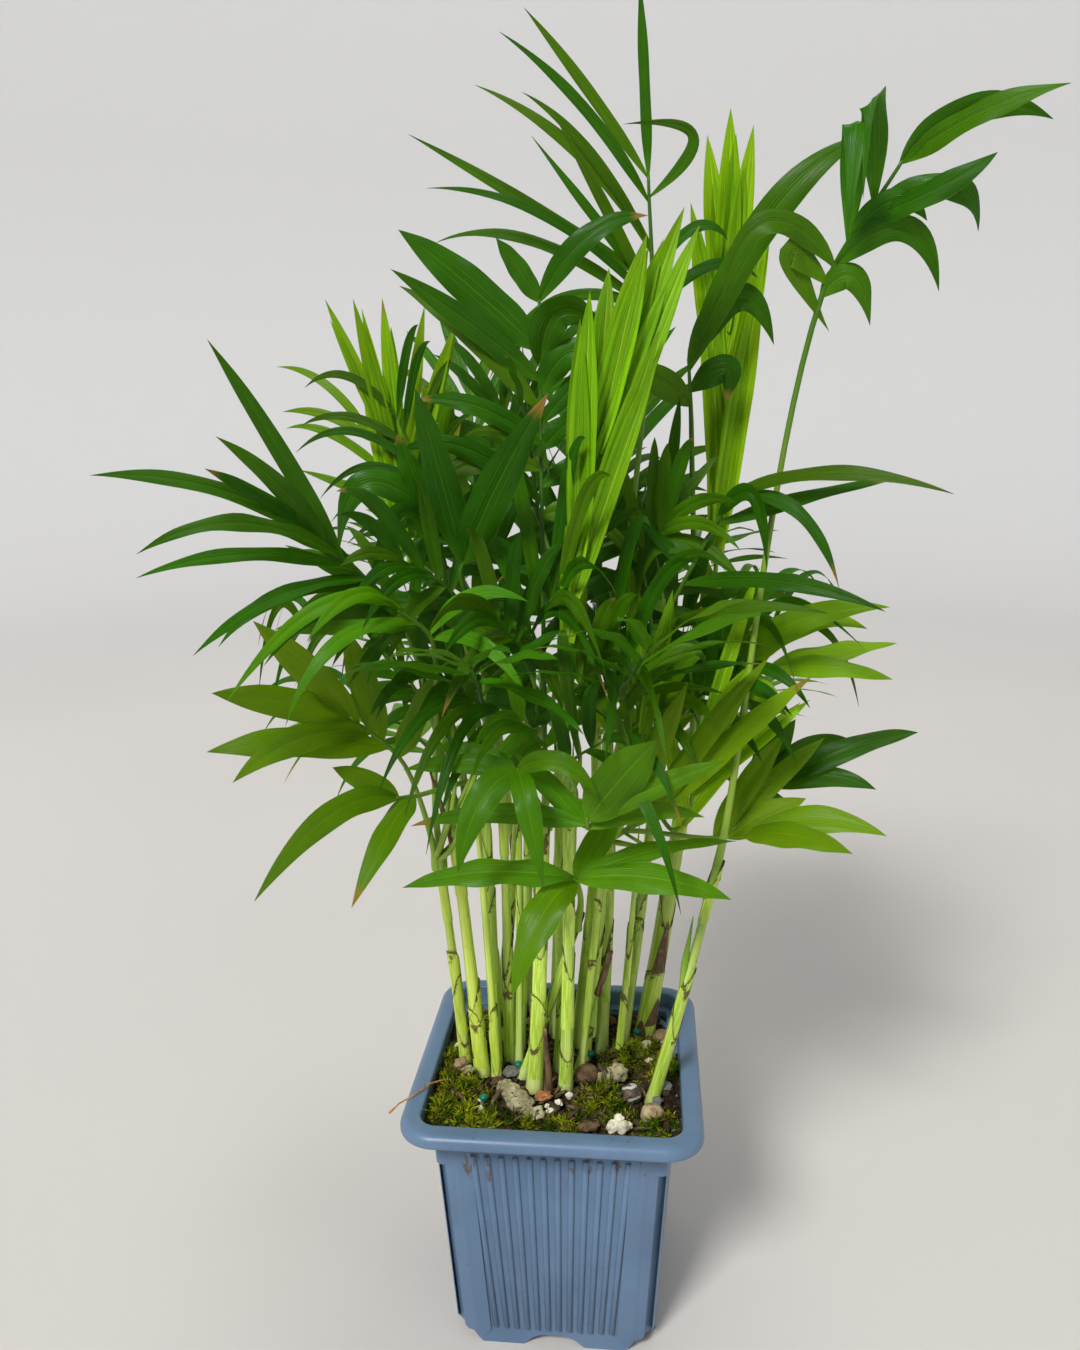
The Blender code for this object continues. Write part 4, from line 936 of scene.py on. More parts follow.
def grid_piece(name, grids, finish, nodes=()):
    """Joins grids of points into one mesh. Each has its own map from edge to edge and from foot to
    tip, its own patch of the map that colours are kept in, and its own tint."""
    points, faces, blade_map, bake_map, tints = [], [], [], [], []
    columns = max(1, round(math.sqrt(len(grids) * 4)))
    lines = math.ceil(len(grids) / columns)
    for k, grid in enumerate(grids):
        rows = grid["rows"]
        count = len(rows[0])
        spans = count if grid.get("closed") else count - 1
        first = len(points)
        left = k % columns / columns
        low = k // columns / lines

        def corner(level, j):
            u = j / spans
            t = level / (len(rows) - 1)
            blade_map.extend((u, t))
            bake_map.extend((left + (0.04 + 0.92 * u) / columns, low + (0.02 + 0.96 * t) / lines))
            return first + level * count + j % count

        for row in rows:
            points.extend(row)
        for level in range(len(rows) - 1):
            for j in range(spans):
                faces.append((corner(level, j), corner(level, j + 1),
                              corner(level + 1, j + 1), corner(level + 1, j)))
        for level in grid.get("caps", ()):
            outward = range(count) if level else reversed(range(count))
            faces.append(tuple(corner(level, j) for j in outward))
        tints += [grid["tint"]] * (len(points) - first)
    mesh_piece(name, points, faces, tints, finish, nodes, (("blade", blade_map), ("OFBake", bake_map)))


# Leaflets

BLADE_STEPS = 22
BLADE_COLUMNS = 9
BLADES_A_PIECE = 60
LEAST_HALF_WIDTH = 0.03
# How each kind of leaflet folds, pleats, waves and rolls, and the finish it has
LOOKS = {
    DARK: {"fold": 0.34, "arch": 0.22, "pleat": 0.05, "pleats": 3, "wave": 0.36, "roll": 30, "slim": 0.72,
           "foot": 0.14, "veins": 3, "roughness": 0.30, "striped": 0.0,
           "greens": ((0.006, 0.060, 0.0004), (0.027, 0.138, 0.001), (0.10, 0.30, 0.008)),
           "glow": ((0.16, 0.46, 0.004), 0.14)},
    MID: {"fold": 0.28, "arch": 0.24, "pleat": 0.06, "pleats": 3, "wave": 0.30, "roll": 24, "slim": 0.78,
          "foot": 0.14, "veins": 4, "roughness": 0.32, "striped": 0.0,
          "greens": ((0.024, 0.122, 0.0004), (0.070, 0.240, 0.001), (0.18, 0.46, 0.014)),
          "glow": ((0.30, 0.62, 0.006), 0.22)},
    YOUNG: {"fold": 0.80, "arch": 0.05, "pleat": 0.16, "pleats": 2, "wave": 0.06, "roll": 4, "slim": 0.80,
            "foot": 0.55, "veins": 3, "roughness": 0.33, "striped": 0.62,
            "greens": ((0.122, 0.35, 0.001), (0.28, 0.60, 0.004), (0.50, 0.82, 0.05)),
            "glow": ((0.50, 0.80, 0.01), 0.30)},
}
# Fronds whose leaflets are slimmer than their solids' by another share than their kind's
SLIM = {
    "frond_top": 0.58, "frond_upper_middle": 0.88, "frond_left_broad": 0.90, "frond_front_oval": 0.70,
    "frond_front_low": 0.92, "frond_high_right": 0.92, "frond_forked": 0.88, "frond_top_right": 0.86,
    "frond_right_low": 0.95, "frond_right_broad": 0.95, "frond_right_bright": 0.92, "inner_blades": 0.85,
    "frond_left": 0.72, "frond_left_hooked": 0.85, "frond_left_thin": 0.8, "frond_front_hanging": 0.8,
    "spear_left": 0.62, "spear_right": 0.86, "spear_low_right": 0.70, "spear_low_middle": 0.70,
}
# Fronds that are more olive than their kind, and those that are brighter or darker; the brightness is partly
# their own tone and partly painted light and painted shade
OLIVE = {
    "inner_blades": 0.40, "frond_left_broad": 0.30, "frond_left_low": 0.16, "frond_right_broad": 0.28,
    "frond_right_bright": 0.35, "frond_left_thin": 0.20, "spear_left": 0.12, "spear_low_right": 0.25,
    "spear_right": 0.22,
}
# Brighter fronds: partly their own tone, partly painted light where light falls on them. Darker ones: partly
# painted shade.
TONE_AND_PAINTED_LIGHT = {
    "frond_left_broad": 0.84, "frond_left_low": 0.86, "frond_front_oval": 0.90, "inner_blades": 1.25,
    "spear_right": 1.27, "spear_low_right": 1.4, "frond_right_bright": 1.2, "frond_right_broad": 1.15,
    "spear_left": 0.84, "spear_middle": 1.12,
}


def strap_half_width(share, width, foot):
    """A leaflet's real outline: narrow at its foot, even along the middle, then drawn out to a point."""
    grown = 1 - (1 - foot) * (1 - min(1.0, share / 0.26)) ** 2
    drawn = 1 - max(0.0, (share - 0.48) / 0.52) ** 1.7
    return width / 2 * grown * drawn


def fine_blade(leaf, kind, slim, dice):
    """The leaflet folded along its midrib, lightly pleated and waved, on the solid leaflet's own curve."""
    look = LOOKS[kind]
    roll = dice.uniform(-1, 1) * look["roll"]
    turns = dice.uniform(1.5, 3.0)
    phase = dice.uniform(0, TURN)
    fold = look["fold"] * dice.uniform(0.5, 1.3)
    rows = []
    for k, (point, _, across, out) in enumerate(leaf_frames(leaf, BLADE_STEPS)):
        t = k / BLADE_STEPS
        half = max(strap_half_width(t, leaf["width"] * slim, look["foot"]), LEAST_HALF_WIDTH)
        angle = math.radians(roll * t)
        side = between(across, out, angle)
        face = out * math.cos(angle) - across * math.sin(angle)
        closing = fold * (1 + 1.2 * max(0.0, 0.15 - t) / 0.15)
        row = []
        for j in range(BLADE_COLUMNS):
            u = 2 * j / (BLADE_COLUMNS - 1) - 1
            lift = closing * abs(u) - look["arch"] * u * u
            lift += look["pleat"] * abs(math.sin(math.pi * look["pleats"] * u))
            lift += look["wave"] * u * abs(u) * math.sin(TURN * turns * t + phase) * 0.5
            row.append(point + side * half * u + face * half * lift)
        rows.append(row)
    return rows


def twin_of(leaf, turn, scale, forward):
    """A finer leaflet beside another in a closed spear."""
    twin = dict(leaf)
    twin["root"] = leaf["root"] + leaf["face"] * forward
    for part in ("bend", "tip"):
        twin[part] = twin["root"] + turned(leaf[part] - leaf["root"], leaf["face"], turn) * scale
    twin["width"] = leaf["width"] * 0.85
    return twin


def leaf_grids(frond, leaves, dice):
    """One frond's blades, each with its own shade, yellowness and, now and then, a dry tip."""
    name, kind = frond[0], frond[6]
    slim = SLIM.get(name, LOOKS[kind]["slim"])
    # A random tone for the frond, times its own tone with its painted light and painted shade
    mood = dice.uniform(0.74, 1.20) * TONE_AND_PAINTED_LIGHT.get(name, 1.0)
    darkest = 0.66 if kind == YOUNG else 0.80
    blades = []
    for leaf in leaves:
        blades.append(leaf)
        if kind == YOUNG and dice.random() < 0.8:
            turn = dice.choice((-1, 1)) * dice.uniform(1.0, 2.2)
            blades.append(twin_of(leaf, turn, dice.uniform(0.80, 0.95), dice.choice((-0.35, 0.35))))
    grids = []
    for leaf in blades:
        yellow = max(0.0, dice.uniform(-0.25, 0.20)) + OLIVE.get(name, 0.0)
        shade = mood * dice.uniform(darkest, 1.16)
        rows = fine_blade(leaf, kind, slim, dice)
        grids.append({"rows": rows, "tint": (shade, yellow, float(dice.random() < 0.10))})
    return grids


def build_leaves(fronds, fitted):
    """Each kind's fronds go a few at a time into pieces that stand for them."""
    dice = random.Random(5)
    for kind in LOOKS:
        finish = leaf_finish(kind)
        grids, nodes = [], []
        made = 0
        mine = [frond for frond in fronds if frond[6] == kind]
        for frond in mine:
            grids += leaf_grids(frond, fitted[frond[0]], dice)
            if frond in FRONDS:
                nodes.append(frond[0])
            if len(grids) >= BLADES_A_PIECE or frond is mine[-1]:
                made += 1
                grid_piece("leaves_%s_%d" % (kind, made), grids, finish, nodes)
                grids, nodes = [], []


# Finer fronds within the crown, between the solid ones, built by the same rules
INNER = (
    ("inner_a", 2, (-21, -12, 183), (-30, -22, 193), (0, -0.8, 0.6), 4.2, DARK, (), (9, 24, 62, 24, 0.22)),
    ("inner_b", 4, (-12, 2, 186), (-19, 4, 197), (0, -0.9, 0.4), 4.0, DARK, (), (9, 24, 64, 24, 0.20)),
    ("inner_c", 3, (-6, -16, 171), (-10, -24, 181), (0, -0.8, 0.6), 4.4, DARK, (), (9, 25, 66, 26, 0.28)),
    ("inner_d", 8, (3, -14, 160), (11, -21, 170), (0, -0.8, 0.6), 4.4, DARK, (), (9, 24, 66, 26, 0.30)),
    ("inner_e", 13, (12, -2, 172), (19, -1, 180), (0, -0.9, 0.4), 4.2, DARK, (), (9, 25, 62, 24, 0.24)),
    ("inner_f", 2, (-19, -8, 160), (-26, -15, 168), (0, -0.8, 0.6), 4.2, DARK, (), (9, 25, 66, 28, 0.32)),
    ("inner_g", 8, (-1, -15, 150), (-6, -22, 158), (0, -0.8, 0.6), 4.4, MID, (), (9, 22, 66, 28, 0.36)),
    ("inner_h", 6, (-14, 6, 154), (-19, 9, 164), (0, -0.9, 0.4), 4.2, DARK, (), (9, 25, 64, 26, 0.26)),
    ("inner_i", 13, (15, 0, 148), (24, -7, 158), (0, -0.8, 0.6), 4.4, MID, (), (9, 24, 62, 26, 0.30)),
    ("inner_j", 14, (23, 8, 167), (31, 6, 177), (0, -0.9, 0.4), 4.2, DARK, (), (9, 26, 60, 24, 0.24)),
    ("inner_k", 15, (31, 4, 155), (39, -2, 165), (0, -0.8, 0.6), 4.2, DARK, (), (9, 26, 60, 26, 0.28)),
    ("inner_l", 14, (20, 12, 144), (28, 18, 154), (0, -0.8, 0.6), 4.2, MID, (), (8, 24, 62, 28, 0.32)),
    ("inner_m", 3, (-17, 1, 141), (-25, -6, 150), (0, -0.8, 0.6), 4.2, MID, (), (8, 23, 64, 28, 0.34)),
    ("inner_n", 1, (-30, 6, 153), (-38, 5, 161), (0, -0.8, 0.6), 4.0, DARK, (), (8, 24, 62, 26, 0.28)),
    ("inner_o", 10, (0, 12, 178), (2, 15, 192), (0, -1, 0.2), 4.0, DARK, (), (11, 26, 62, 24, 0.20)),
    ("inner_p", 12, (8, 17, 187), (14, 21, 201), (0, -1, 0.2), 3.8, DARK, (), (11, 26, 60, 24, 0.18)),
    ("inner_q", 6, (-10, 15, 208), (-14, 18, 224), (0, -1, 0.2), 3.4, DARK, (), (12, 26, 60, 22, 0.14)),
    ("inner_r", 14, (19, -1, 190), (25, -6, 199), (0, -0.9, 0.4), 4.0, DARK, (), (9, 24, 62, 24, 0.22)),
    ("inner_s", 1, (-32, -4, 174), (-40, -12, 181), (0, -0.7, 0.7), 4.0, DARK, (), (9, 26, 60, 24, 0.24)),
    ("inner_t", 5, (-24, 11, 197), (-30, 13, 211), (0, -1, 0.2), 3.4, MID, (), (10, 24, 58, 22, 0.16)),
    ("inner_u", 19, (4, 30, 160), (10, 42, 172), (0, 0.6, 0.8), 4.4, DARK, (), (9, 28, 64, 26, 0.28)),
    ("inner_v", 18, (-20, 32, 158), (-30, 42, 168), (0, 0.6, 0.8), 4.4, DARK, (), (9, 28, 64, 26, 0.28)),
    ("inner_w", 16, (34, 30, 160), (44, 38, 170), (0.3, 0.4, 0.8), 4.4, DARK, (), (9, 26, 64, 26, 0.28)),
    ("inner_x", 8, (4, -16, 147), (12, -23, 155), (0, -0.8, 0.6), 4.0, DARK, (), (7, 38, 62, 34, 0.42)),
    ("inner_y", 3, (-9, -12, 155), (-17, -20, 162), (0, -0.8, 0.6), 4.0, DARK, (), (7, 36, 62, 34, 0.42)),
    ("inner_z", 11, (10, -9, 160), (16, -18, 168), (0, -0.8, 0.6), 4.2, DARK, (), (7, 38, 60, 32, 0.42)),
    ("inner_blades", 13, (16, -5, 127), (22, -10, 133), (0, -0.7, 0.7), 6.6, MID, (
        (1.00, -10, 54, 48), (1.00, -15, 46, 50), (0.50, -5, 40, 46), (0.30, 5, 62, 44)), None),
    ("inner_left_fine", 1, (-40, 3, 167), (-61, 4, 173), (0, -0.6, 0.8), 2.8, DARK, (),
     (10, 22, 72, 36, 0.85)),
    ("inner_left_low", 1, (-34, 5, 146), (-51, 5, 153), (0, -0.6, 0.8), 2.6, DARK, (), (6, 31, 50, 12, 0.40)),
    ("inner_right_fine", 15, (36, 8, 168), (50, 7, 174), (0, -0.6, 0.8), 3.0, DARK, (),
     (8, 31, 68, 36, 0.60)),
    ("inner_side_a", 13, (9, 6, 190), (11, 15, 214), (1, 0, 0.2), 4.0, DARK, (), (11, 28, 60, 24, 0.20)),
    ("inner_side_b", 2, (-16, 3, 180), (-18, 13, 202), (-1, 0, 0.2), 4.0, DARK, (), (11, 28, 60, 24, 0.22)),
    ("inner_side_c", 14, (16, 12, 172), (19, 24, 190), (1, 0, 0.3), 4.2, DARK, (), (10, 28, 60, 26, 0.24)),
    ("inner_side_d", 8, (-4, 2, 200), (-5, -9, 222), (-1, 0, 0.2), 3.8, DARK, (), (11, 26, 60, 22, 0.18)),
    ("inner_side_e", 15, (26, 10, 150), (31, 22, 164), (1, 0, 0.4), 4.2, MID, (), (9, 28, 62, 28, 0.30)),
    ("inner_side_f", 1, (-29, 6, 150), (-34, 18, 164), (-1, 0, 0.4), 4.2, MID, (), (9, 28, 62, 28, 0.30)),
    ("inner_upper_left", 4, (-27, 4, 196), (-36, 6, 222), (0, -1, 0.2), 2.7, DARK, (),
     (12, 26, 68, 30, 0.30)),
    ("inner_gap", 14, (22, 0, 192), (25, -2, 203), (0, -1, 0.2), 3.6, DARK, (
        (1.00, -4, 84, 23), (1.00, 170, 20, 14, 170, -60, 12), (0.60, 10, 50, 20)), None),
    ("inner_mid", 4, (-4, -12, 176), (3, -20, 186), (0, -0.8, 0.6), 4.2, DARK, (), (7, 36, 60, 32, 0.36)),
)


# Ribs, stems and sheaths

NO_TINT = (1.0, 0.0, 0.0)
DEAD_STEM = 9
STEM_ROUND = 14
STEM_LEVELS = 34
STEM_LOBES = 0.035
SHEATH_LEVELS = 9
# Shade, yellowness and dryness of the stems that have their own
STEM_SHADES = {
    1: (0.92, 0.25, 0), 2: (1.05, 0.34, 0), 3: (0.84, 0.0, 0), 5: (0.82, 0.12, 0), 8: (1.05, 0.05, 0),
    12: (0.88, 0.1, 0), 14: (0.9, 0.0, 0), 15: (0.72, 0.0, 0), 16: (0.80, 0.1, 0), 17: (0.86, 0.0, 0),
    18: (0.8, 0.1, 0), 19: (0.85, 0.0, 0),
}
# Thin young shoots between the stems, which end as closed spears among the leaves
SHOOTS = {
    21: (-21.8, 4.0, -0.060, 0.02, 138, 1.05), 22: (-15.6, -3.6, -0.045, -0.02, 134, 1.15),
    23: (-10.6, 2.0, 0.012, 0.00, 142, 1.0), 24: (-6.6, 2.8, 0.040, 0.02, 139, 1.1),
    25: (-0.6, 1.6, 0.050, 0.00, 146, 1.15), 26: (5.2, -2.6, 0.090, 0.00, 132, 0.95),
    27: (8.6, 14.6, 0.060, 0.03, 147, 1.1), 28: (-5.4, 11.6, -0.030, 0.02, 141, 1.1),
    29: (14.6, 6.0, 0.075, 0.00, 128, 0.95), 30: (-17.6, 8.6, -0.040, 0.03, 139, 1.0),
    31: (1.6, 6.8, 0.020, 0.02, 150, 1.15), 32: (4.6, 0.4, 0.215, -0.03, 84, 1.05),
}
SIDE_SPEAR = ((29.6, -10.2, 88), (30.4, -10.8, 97), (32.1, -11.4, 109.5))
DRY_TIP = ((9.6, -0.4, 82), (11.3, -0.9, 88), (13.0, -1.4, 94.5))
DRY_SPIKE = ((-24.5, -3.0, 121), (-27.5, -4.5, 134), (-30.2, -6.0, 146))


def tube(path, radii, sides, tint, caps=()):
    return {"rows": tube_rings(path, radii, sides), "closed": True, "tint": tint, "caps": caps}


def build_ribs(fronds, fine_paths):
    """Each rib swells a little where it leaves its sheath and thins to its last leaflet."""
    grids = []
    for frond in fronds:
        path = fine_paths[frond[0]]
        last = len(path) - 1
        slender = 0.82 if frond in FRONDS else 0.6
        radii = []
        for k in range(last + 1):
            share = k / last
            radii.append((0.95 - 0.55 * share) * slender + 0.30 * math.exp(-share * 14))
        deep = {DARK: 0.85, MID: 0.4, YOUNG: 0.0}[frond[6]]
        sunk = [path[0] - UP * 3.0]
        grids.append(tube(sunk + path, radii[:1] + radii, 8, (1.0, deep, 0.0), (last + 1,)))
    grids.append(tube([Vector(p) for p in SIDE_SPEAR], (0.55, 0.85, 0.10), 8, NO_TINT))
    grid_piece("ribs", grids, rib_finish())


def stem_at(number, height):
    """The middle and the radius of a stem at a height."""
    path, radii = stem_path(number, SHOOTS if number in SHOOTS else STEMS)
    for a, b, ra, rb in zip(path, path[1:], radii, radii[1:]):
        if height <= b.z or b is path[-1]:
            share = (height - a.z) / (b.z - a.z)
            return a.lerp(b, share), ra + (rb - ra) * share


def stem_rows(number, foot, top, steps, phase):
    """A fluted stem, a little thinner above each sheath. A young shoot closes to a point."""
    rows = []
    for k in range(STEM_LEVELS + 1):
        height = foot + (top + 1.5 - foot) * k / STEM_LEVELS
        middle, radius = stem_at(number, height)
        swell = 0.06 * noise.noise(Vector((number * 7.1, 0, height * 0.11)))
        waist = -0.05 * sum(1 for step in steps if height > step)
        foot_flare = 0.35 * math.exp(-(height - foot) / 2.2)
        closing = 0.0
        if number in SHOOTS:
            closing = -0.9 * max(0.0, (k - 22) / 12) ** 1.3 * SHOOTS[number][5] * 0.72
        extra = swell + waist + foot_flare + closing
        row = []
        for j in range(STEM_ROUND):
            a = TURN * j / STEM_ROUND
            row.append(middle + around(a, radius * (1 + STEM_LOBES * math.cos(2 * a + phase)) + extra))
        rows.append(row)
    return rows


def sheath_rows(number, bottom, mouth, facing, depth, loose, phase):
    """A sheath round a stem, whose mouth slants down on the side it faces."""
    rows = []
    for level in range(SHEATH_LEVELS + 1):
        share = level / SHEATH_LEVELS
        row = []
        for k in range(STEM_ROUND):
            a = TURN * k / STEM_ROUND
            rim = mouth - depth * ((1 + math.cos(a - facing)) / 2) ** 2.6
            height = bottom + (rim - bottom) * share
            middle, r = stem_at(number, height)
            r = r * (1 + STEM_LOBES * math.cos(2 * a + phase)) + 0.05 + loose * share ** 3
            row.append(middle + around(a, r, height - middle.z))
        rows.append(row)
    return rows


def build_stems():
    """Fluted stems, each wrapped in sheaths whose slanting mouths are edged in brown."""
    dice = random.Random(23)
    stems, sheaths = [], []
    names = ["stem_%02d" % number for number in STEMS if number != DEAD_STEM]
    foot = SOIL_TOP - 1.5
    for number in (*STEMS, *SHOOTS):
        if number == DEAD_STEM:
            continue
        young = number in SHOOTS
        top = (SHOOTS if young else STEMS)[number][4]
        plain = (dice.uniform(0.9, 1.05), max(0.0, dice.uniform(-0.2, 0.2)), 0.0)
        tint = STEM_SHADES.get(number, plain)
        phase = dice.uniform(0, 6.28)
        steps = sorted(dice.uniform(foot + 12, top - 8) for _ in range(3))
        stems.append({"rows": stem_rows(number, foot, top, steps, phase), "closed": True,
                      "caps": (STEM_LEVELS,), "tint": tint})
        for mouth in steps[:2] if young else steps + [top + 2.0]:
            bottom = max(foot + 1, mouth - dice.uniform(14, 26))
            facing = math.radians(dice.choice((-90, -90, 60, 200)) + dice.uniform(-55, 55))
            depth = dice.uniform(4.0, 11.0)
            loose = dice.uniform(0.10, 0.22) if mouth < top else 0.3
            withering = dice.uniform(0.7, 1.0) if dice.random() < 0.16 else 0.0
            rows = sheath_rows(number, bottom, mouth, facing, depth, loose, phase)
            sheaths.append({"rows": rows, "closed": True,
                            "tint": (tint[0] * dice.uniform(0.92, 1.08), tint[1], withering)})
    half = len(stems) // 2
    finish = stem_finish()
    grid_piece("stems_left", stems[:half], finish, names[:half])
    grid_piece("stems_right", stems[half:], finish, names[half:])
    grid_piece("sheaths", sheaths, sheath_finish())


def withered_tube(points, radii):
    """A dry, crumpled tube through a few points."""
    points = [Vector(p) for p in points]
    path, widths = [], []
    fine = 5
    for a, b, ra, rb in zip(points, points[1:], radii, radii[1:]):
        for step in range(fine):
            path.append(a.lerp(b, step / fine))
            widths.append(ra + (rb - ra) * step / fine)
    path.append(points[-1])
    widths.append(radii[-1])
    widths = [w * (1 + 0.16 * noise.noise(p * 0.6)) for w, p in zip(widths, path)]
    return tube(path, widths, 9, NO_TINT, (0, len(path) - 1))


def scale_on(number, height, facing, long, spread):
    """A thin dry scale that hugs a stem and comes to a point."""
    rows = []
    for level in range(9):
        share = level / 8
        wide = spread * (1 - share) ** 0.8 + 0.02
        middle, r = stem_at(number, height + long * share)
        away = r + 0.14 + 0.35 * share ** 2
        rows.append([middle + around(facing + wide * (k / 3 - 1), away) for k in range(7)])
    return {"rows": rows, "tint": NO_TINT}


def build_dry_bits():
    """The dead stub, the slanting shoot's dry tip, the dry spike at the left, and scales on the stems."""
    dice = random.Random(31)
    path, radii = stem_path(DEAD_STEM)
    stub = (path[0] - UP * 2, path[2], path[-1])
    grids = [withered_tube(stub, (radii[0] * 1.1, radii[1], radii[-1] * 0.7)),
             withered_tube(DRY_TIP, (0.85, 0.95, 0.55)),
             withered_tube(DRY_SPIKE, (0.75, 0.6, 0.15))]
    for number in STEMS:
        if number == DEAD_STEM:
            continue
        for _ in range(dice.choice((0, 0, 1, 1))):
            facing = math.radians(-90 + dice.uniform(-100, 100))
            height = SOIL_TOP + dice.uniform(0.5, 12)
            grids.append(scale_on(number, height, facing, dice.uniform(2.5, 6), 0.62))
    grids.append(scale_on(16, 79, math.radians(-70), 15, 0.9))
    grids.append(scale_on(16, 64, math.radians(-50), 8, 0.9))
    grid_piece("dry_sheaths", grids, dry_finish(), ["stem_09"])


# Modelling by hand: small helpers for object and edit mode

def select_only(*pieces):
    bpy.ops.object.select_all(action="DESELECT")
    for piece in pieces:
        piece.select_set(True)
    bpy.context.view_layer.objects.active = pieces[0]


def as_placed(name):
    """The piece just added, named, with its place and size kept in its mesh."""
    piece = bpy.context.active_object
    piece.name = name
    bpy.ops.object.transform_apply(location=True, rotation=True, scale=True)
    return piece


def edited(piece):
    select_only(piece)
    bpy.ops.object.mode_set(mode="EDIT")


def finished_editing():
    bpy.ops.object.mode_set(mode="OBJECT")


def pick(piece, faces=None, edges=None):
    """Selects the faces or edges that a test on their middle and normal, or on their ends, lets through."""
    bpy.ops.mesh.select_mode(type="FACE" if faces else "EDGE")
    bpy.ops.mesh.select_all(action="DESELECT")
    shell = bmesh.from_edit_mesh(piece.data)
    if faces:
        for face in shell.faces:
            if faces((face.calc_center_median() - HOME) / MM, face.normal):
                face.select_set(True)
    else:
        for edge in shell.edges:
            if edges(*((v.co - HOME) / MM for v in edge.verts)):
                edge.select_set(True)
    bmesh.update_edit_mesh(piece.data)


def upright(a, b):
    return abs(a.z - b.z) > 1


def facing_up(middle, normal):
    return normal.z > 0.9


def facing_down(middle, normal):
    return normal.z < -0.9


def block(name, low, high):
    """A box from one corner to the other, open for editing."""
    bpy.ops.object.select_all(action="DESELECT")
    middle = (Vector(low) + Vector(high)) / 2
    bpy.ops.mesh.primitive_cube_add(size=1, location=at(*middle), scale=(Vector(high) - Vector(low)) * MM)
    piece = as_placed(name)
    edited(piece)
    return piece


def rod(name, middle, radius, length, sides):
    bpy.ops.object.select_all(action="DESELECT")
    bpy.ops.mesh.primitive_cylinder_add(vertices=sides, radius=radius * MM, depth=length * MM,
                                        location=at(*middle))
    return as_placed(name)


def bevel(width, segments=1):
    bpy.ops.mesh.bevel(offset=width * MM, segments=segments, affect="EDGES")


def inset(width, depth=0.0, **options):
    bpy.ops.mesh.inset(thickness=width * MM, depth=depth * MM, use_even_offset=True, **options)


def narrow(x_share, y_share, height=0):
    """Resizes what is selected about the pot's axis."""
    bpy.ops.transform.resize(value=(x_share, y_share, 1), center_override=at(0, 0, height))


def extrude(rise):
    bpy.ops.mesh.extrude_region_move(TRANSFORM_OT_translate={"value": Vector((0, 0, rise)) * MM})


def chamfered(piece):
    """Chamfers a box's corners as the pot's body has them."""
    pick(piece, edges=upright)
    bevel(BODY_CHAMFER)
    return piece


def tapered(name, low, high):
    """A box with chamfered corners that narrows to its foot as the pot's body does."""
    piece = block(name, low, high)
    pick(piece, faces=facing_down)
    narrow(BODY_BOTTOM / BODY_TOP, BODY_BOTTOM / BODY_TOP)
    return chamfered(piece)


def joined(name, pieces):
    select_only(*pieces)
    bpy.ops.object.join()
    pieces[0].name = name
    return pieces[0]


def cut(piece, tool):
    """Takes a tool away from a piece."""
    finished_editing()
    select_only(piece)
    change = piece.modifiers.new("cut", "BOOLEAN")
    change.object = tool
    change.operation = "DIFFERENCE"
    change.solver = "MANIFOLD"
    bpy.ops.object.modifier_apply(modifier="cut")
    bpy.data.objects.remove(tool, do_unlink=True)


def smooth(piece, degrees):
    select_only(piece)
    bpy.ops.object.shade_smooth_by_angle(angle=math.radians(degrees))


# Pot

LEDGE_DROP = 9.0
LEDGE_NARROWING = 0.985
LEDGE_FOOT = 52.0
RIM_FOOT_ROUNDING = 0.5
OPENING_ROUNDING = 0.6
CORNER_ROUNDING = 0.9
PANEL_BORDER = 3.6
PANEL_DEPTH = 0.55
ARCH_ROUNDING = 2.0
# The tools that cut the foot start below it and reach well past its sides
CUT_FROM = -2.0
ARCH_REACH = 50.0
CORNER_REACH = 40.0
# The ribs of a panel: their ends, and how wide they spread there
RIB_LOW = 4.6
RIB_HIGH = 55.2
RIBS_SPREAD_LOW = 28.2
RIBS_SPREAD_HIGH = 36.0
RIB_END_INSET = 0.35
RIB_END_RISE = 0.3


def on_outline(point):
    """How far a point lies outside the rim's rounded square."""
    half = RIM_WIDTH / 2 - RIM_CORNER
    x = abs(point.x) - half
    y = abs(point.y) - half
    if x > 0 and y > 0:
        return math.hypot(x, y) - RIM_CORNER
    return max(x, y) - RIM_CORNER


def build_rim():
    """The rolled rim, the wall under it and the ledge inside it, all drawn out of one slab."""
    half = RIM_WIDTH / 2
    flange = POT_HEIGHT - RIM_THICKNESS
    rim = block("rim", (-half, -half, flange), (half, half, POT_HEIGHT))
    pick(rim, edges=upright)
    bevel(RIM_CORNER, 14)
    pick(rim, faces=facing_up)
    inset(half - OPENING / 2)
    extrude(-LEDGE_DEPTH)
    inset((OPENING - LEDGE_WIDTH) / 2)
    extrude(-LEDGE_DROP)
    narrow(LEDGE_NARROWING, LEDGE_NARROWING, LEDGE_FOOT)
    bpy.ops.mesh.delete(type="FACE")
    pick(rim, faces=lambda middle, normal: normal.z < -0.9 and middle.z < flange + 0.1)
    inset(half - OPENING / 2 - WALL)
    extrude(NECK - flange)
    inset(OPENING / 2 + WALL - BODY_TOP / 2 + 0.4)
    bpy.ops.mesh.delete(type="FACE")
    pick(rim, edges=lambda a, b: min(a.z, b.z) > POT_HEIGHT - 0.01
         and min(on_outline(a), on_outline(b)) > -0.01)
    bevel(RIM_ROUNDING, 6)
    pick(rim, edges=lambda a, b: max(a.z, b.z) < flange + 0.01 and min(a.z, b.z) > flange - 0.01
         and min(on_outline(a), on_outline(b)) > -0.01)
    bevel(RIM_FOOT_ROUNDING, 3)
    pick(rim, edges=lambda a, b: min(a.z, b.z) > POT_HEIGHT - 0.01
         and max(on_outline(a), on_outline(b)) < -4.0)
    bevel(OPENING_ROUNDING, 3)
    finished_editing()
    smooth(rim, 50)
    return rim


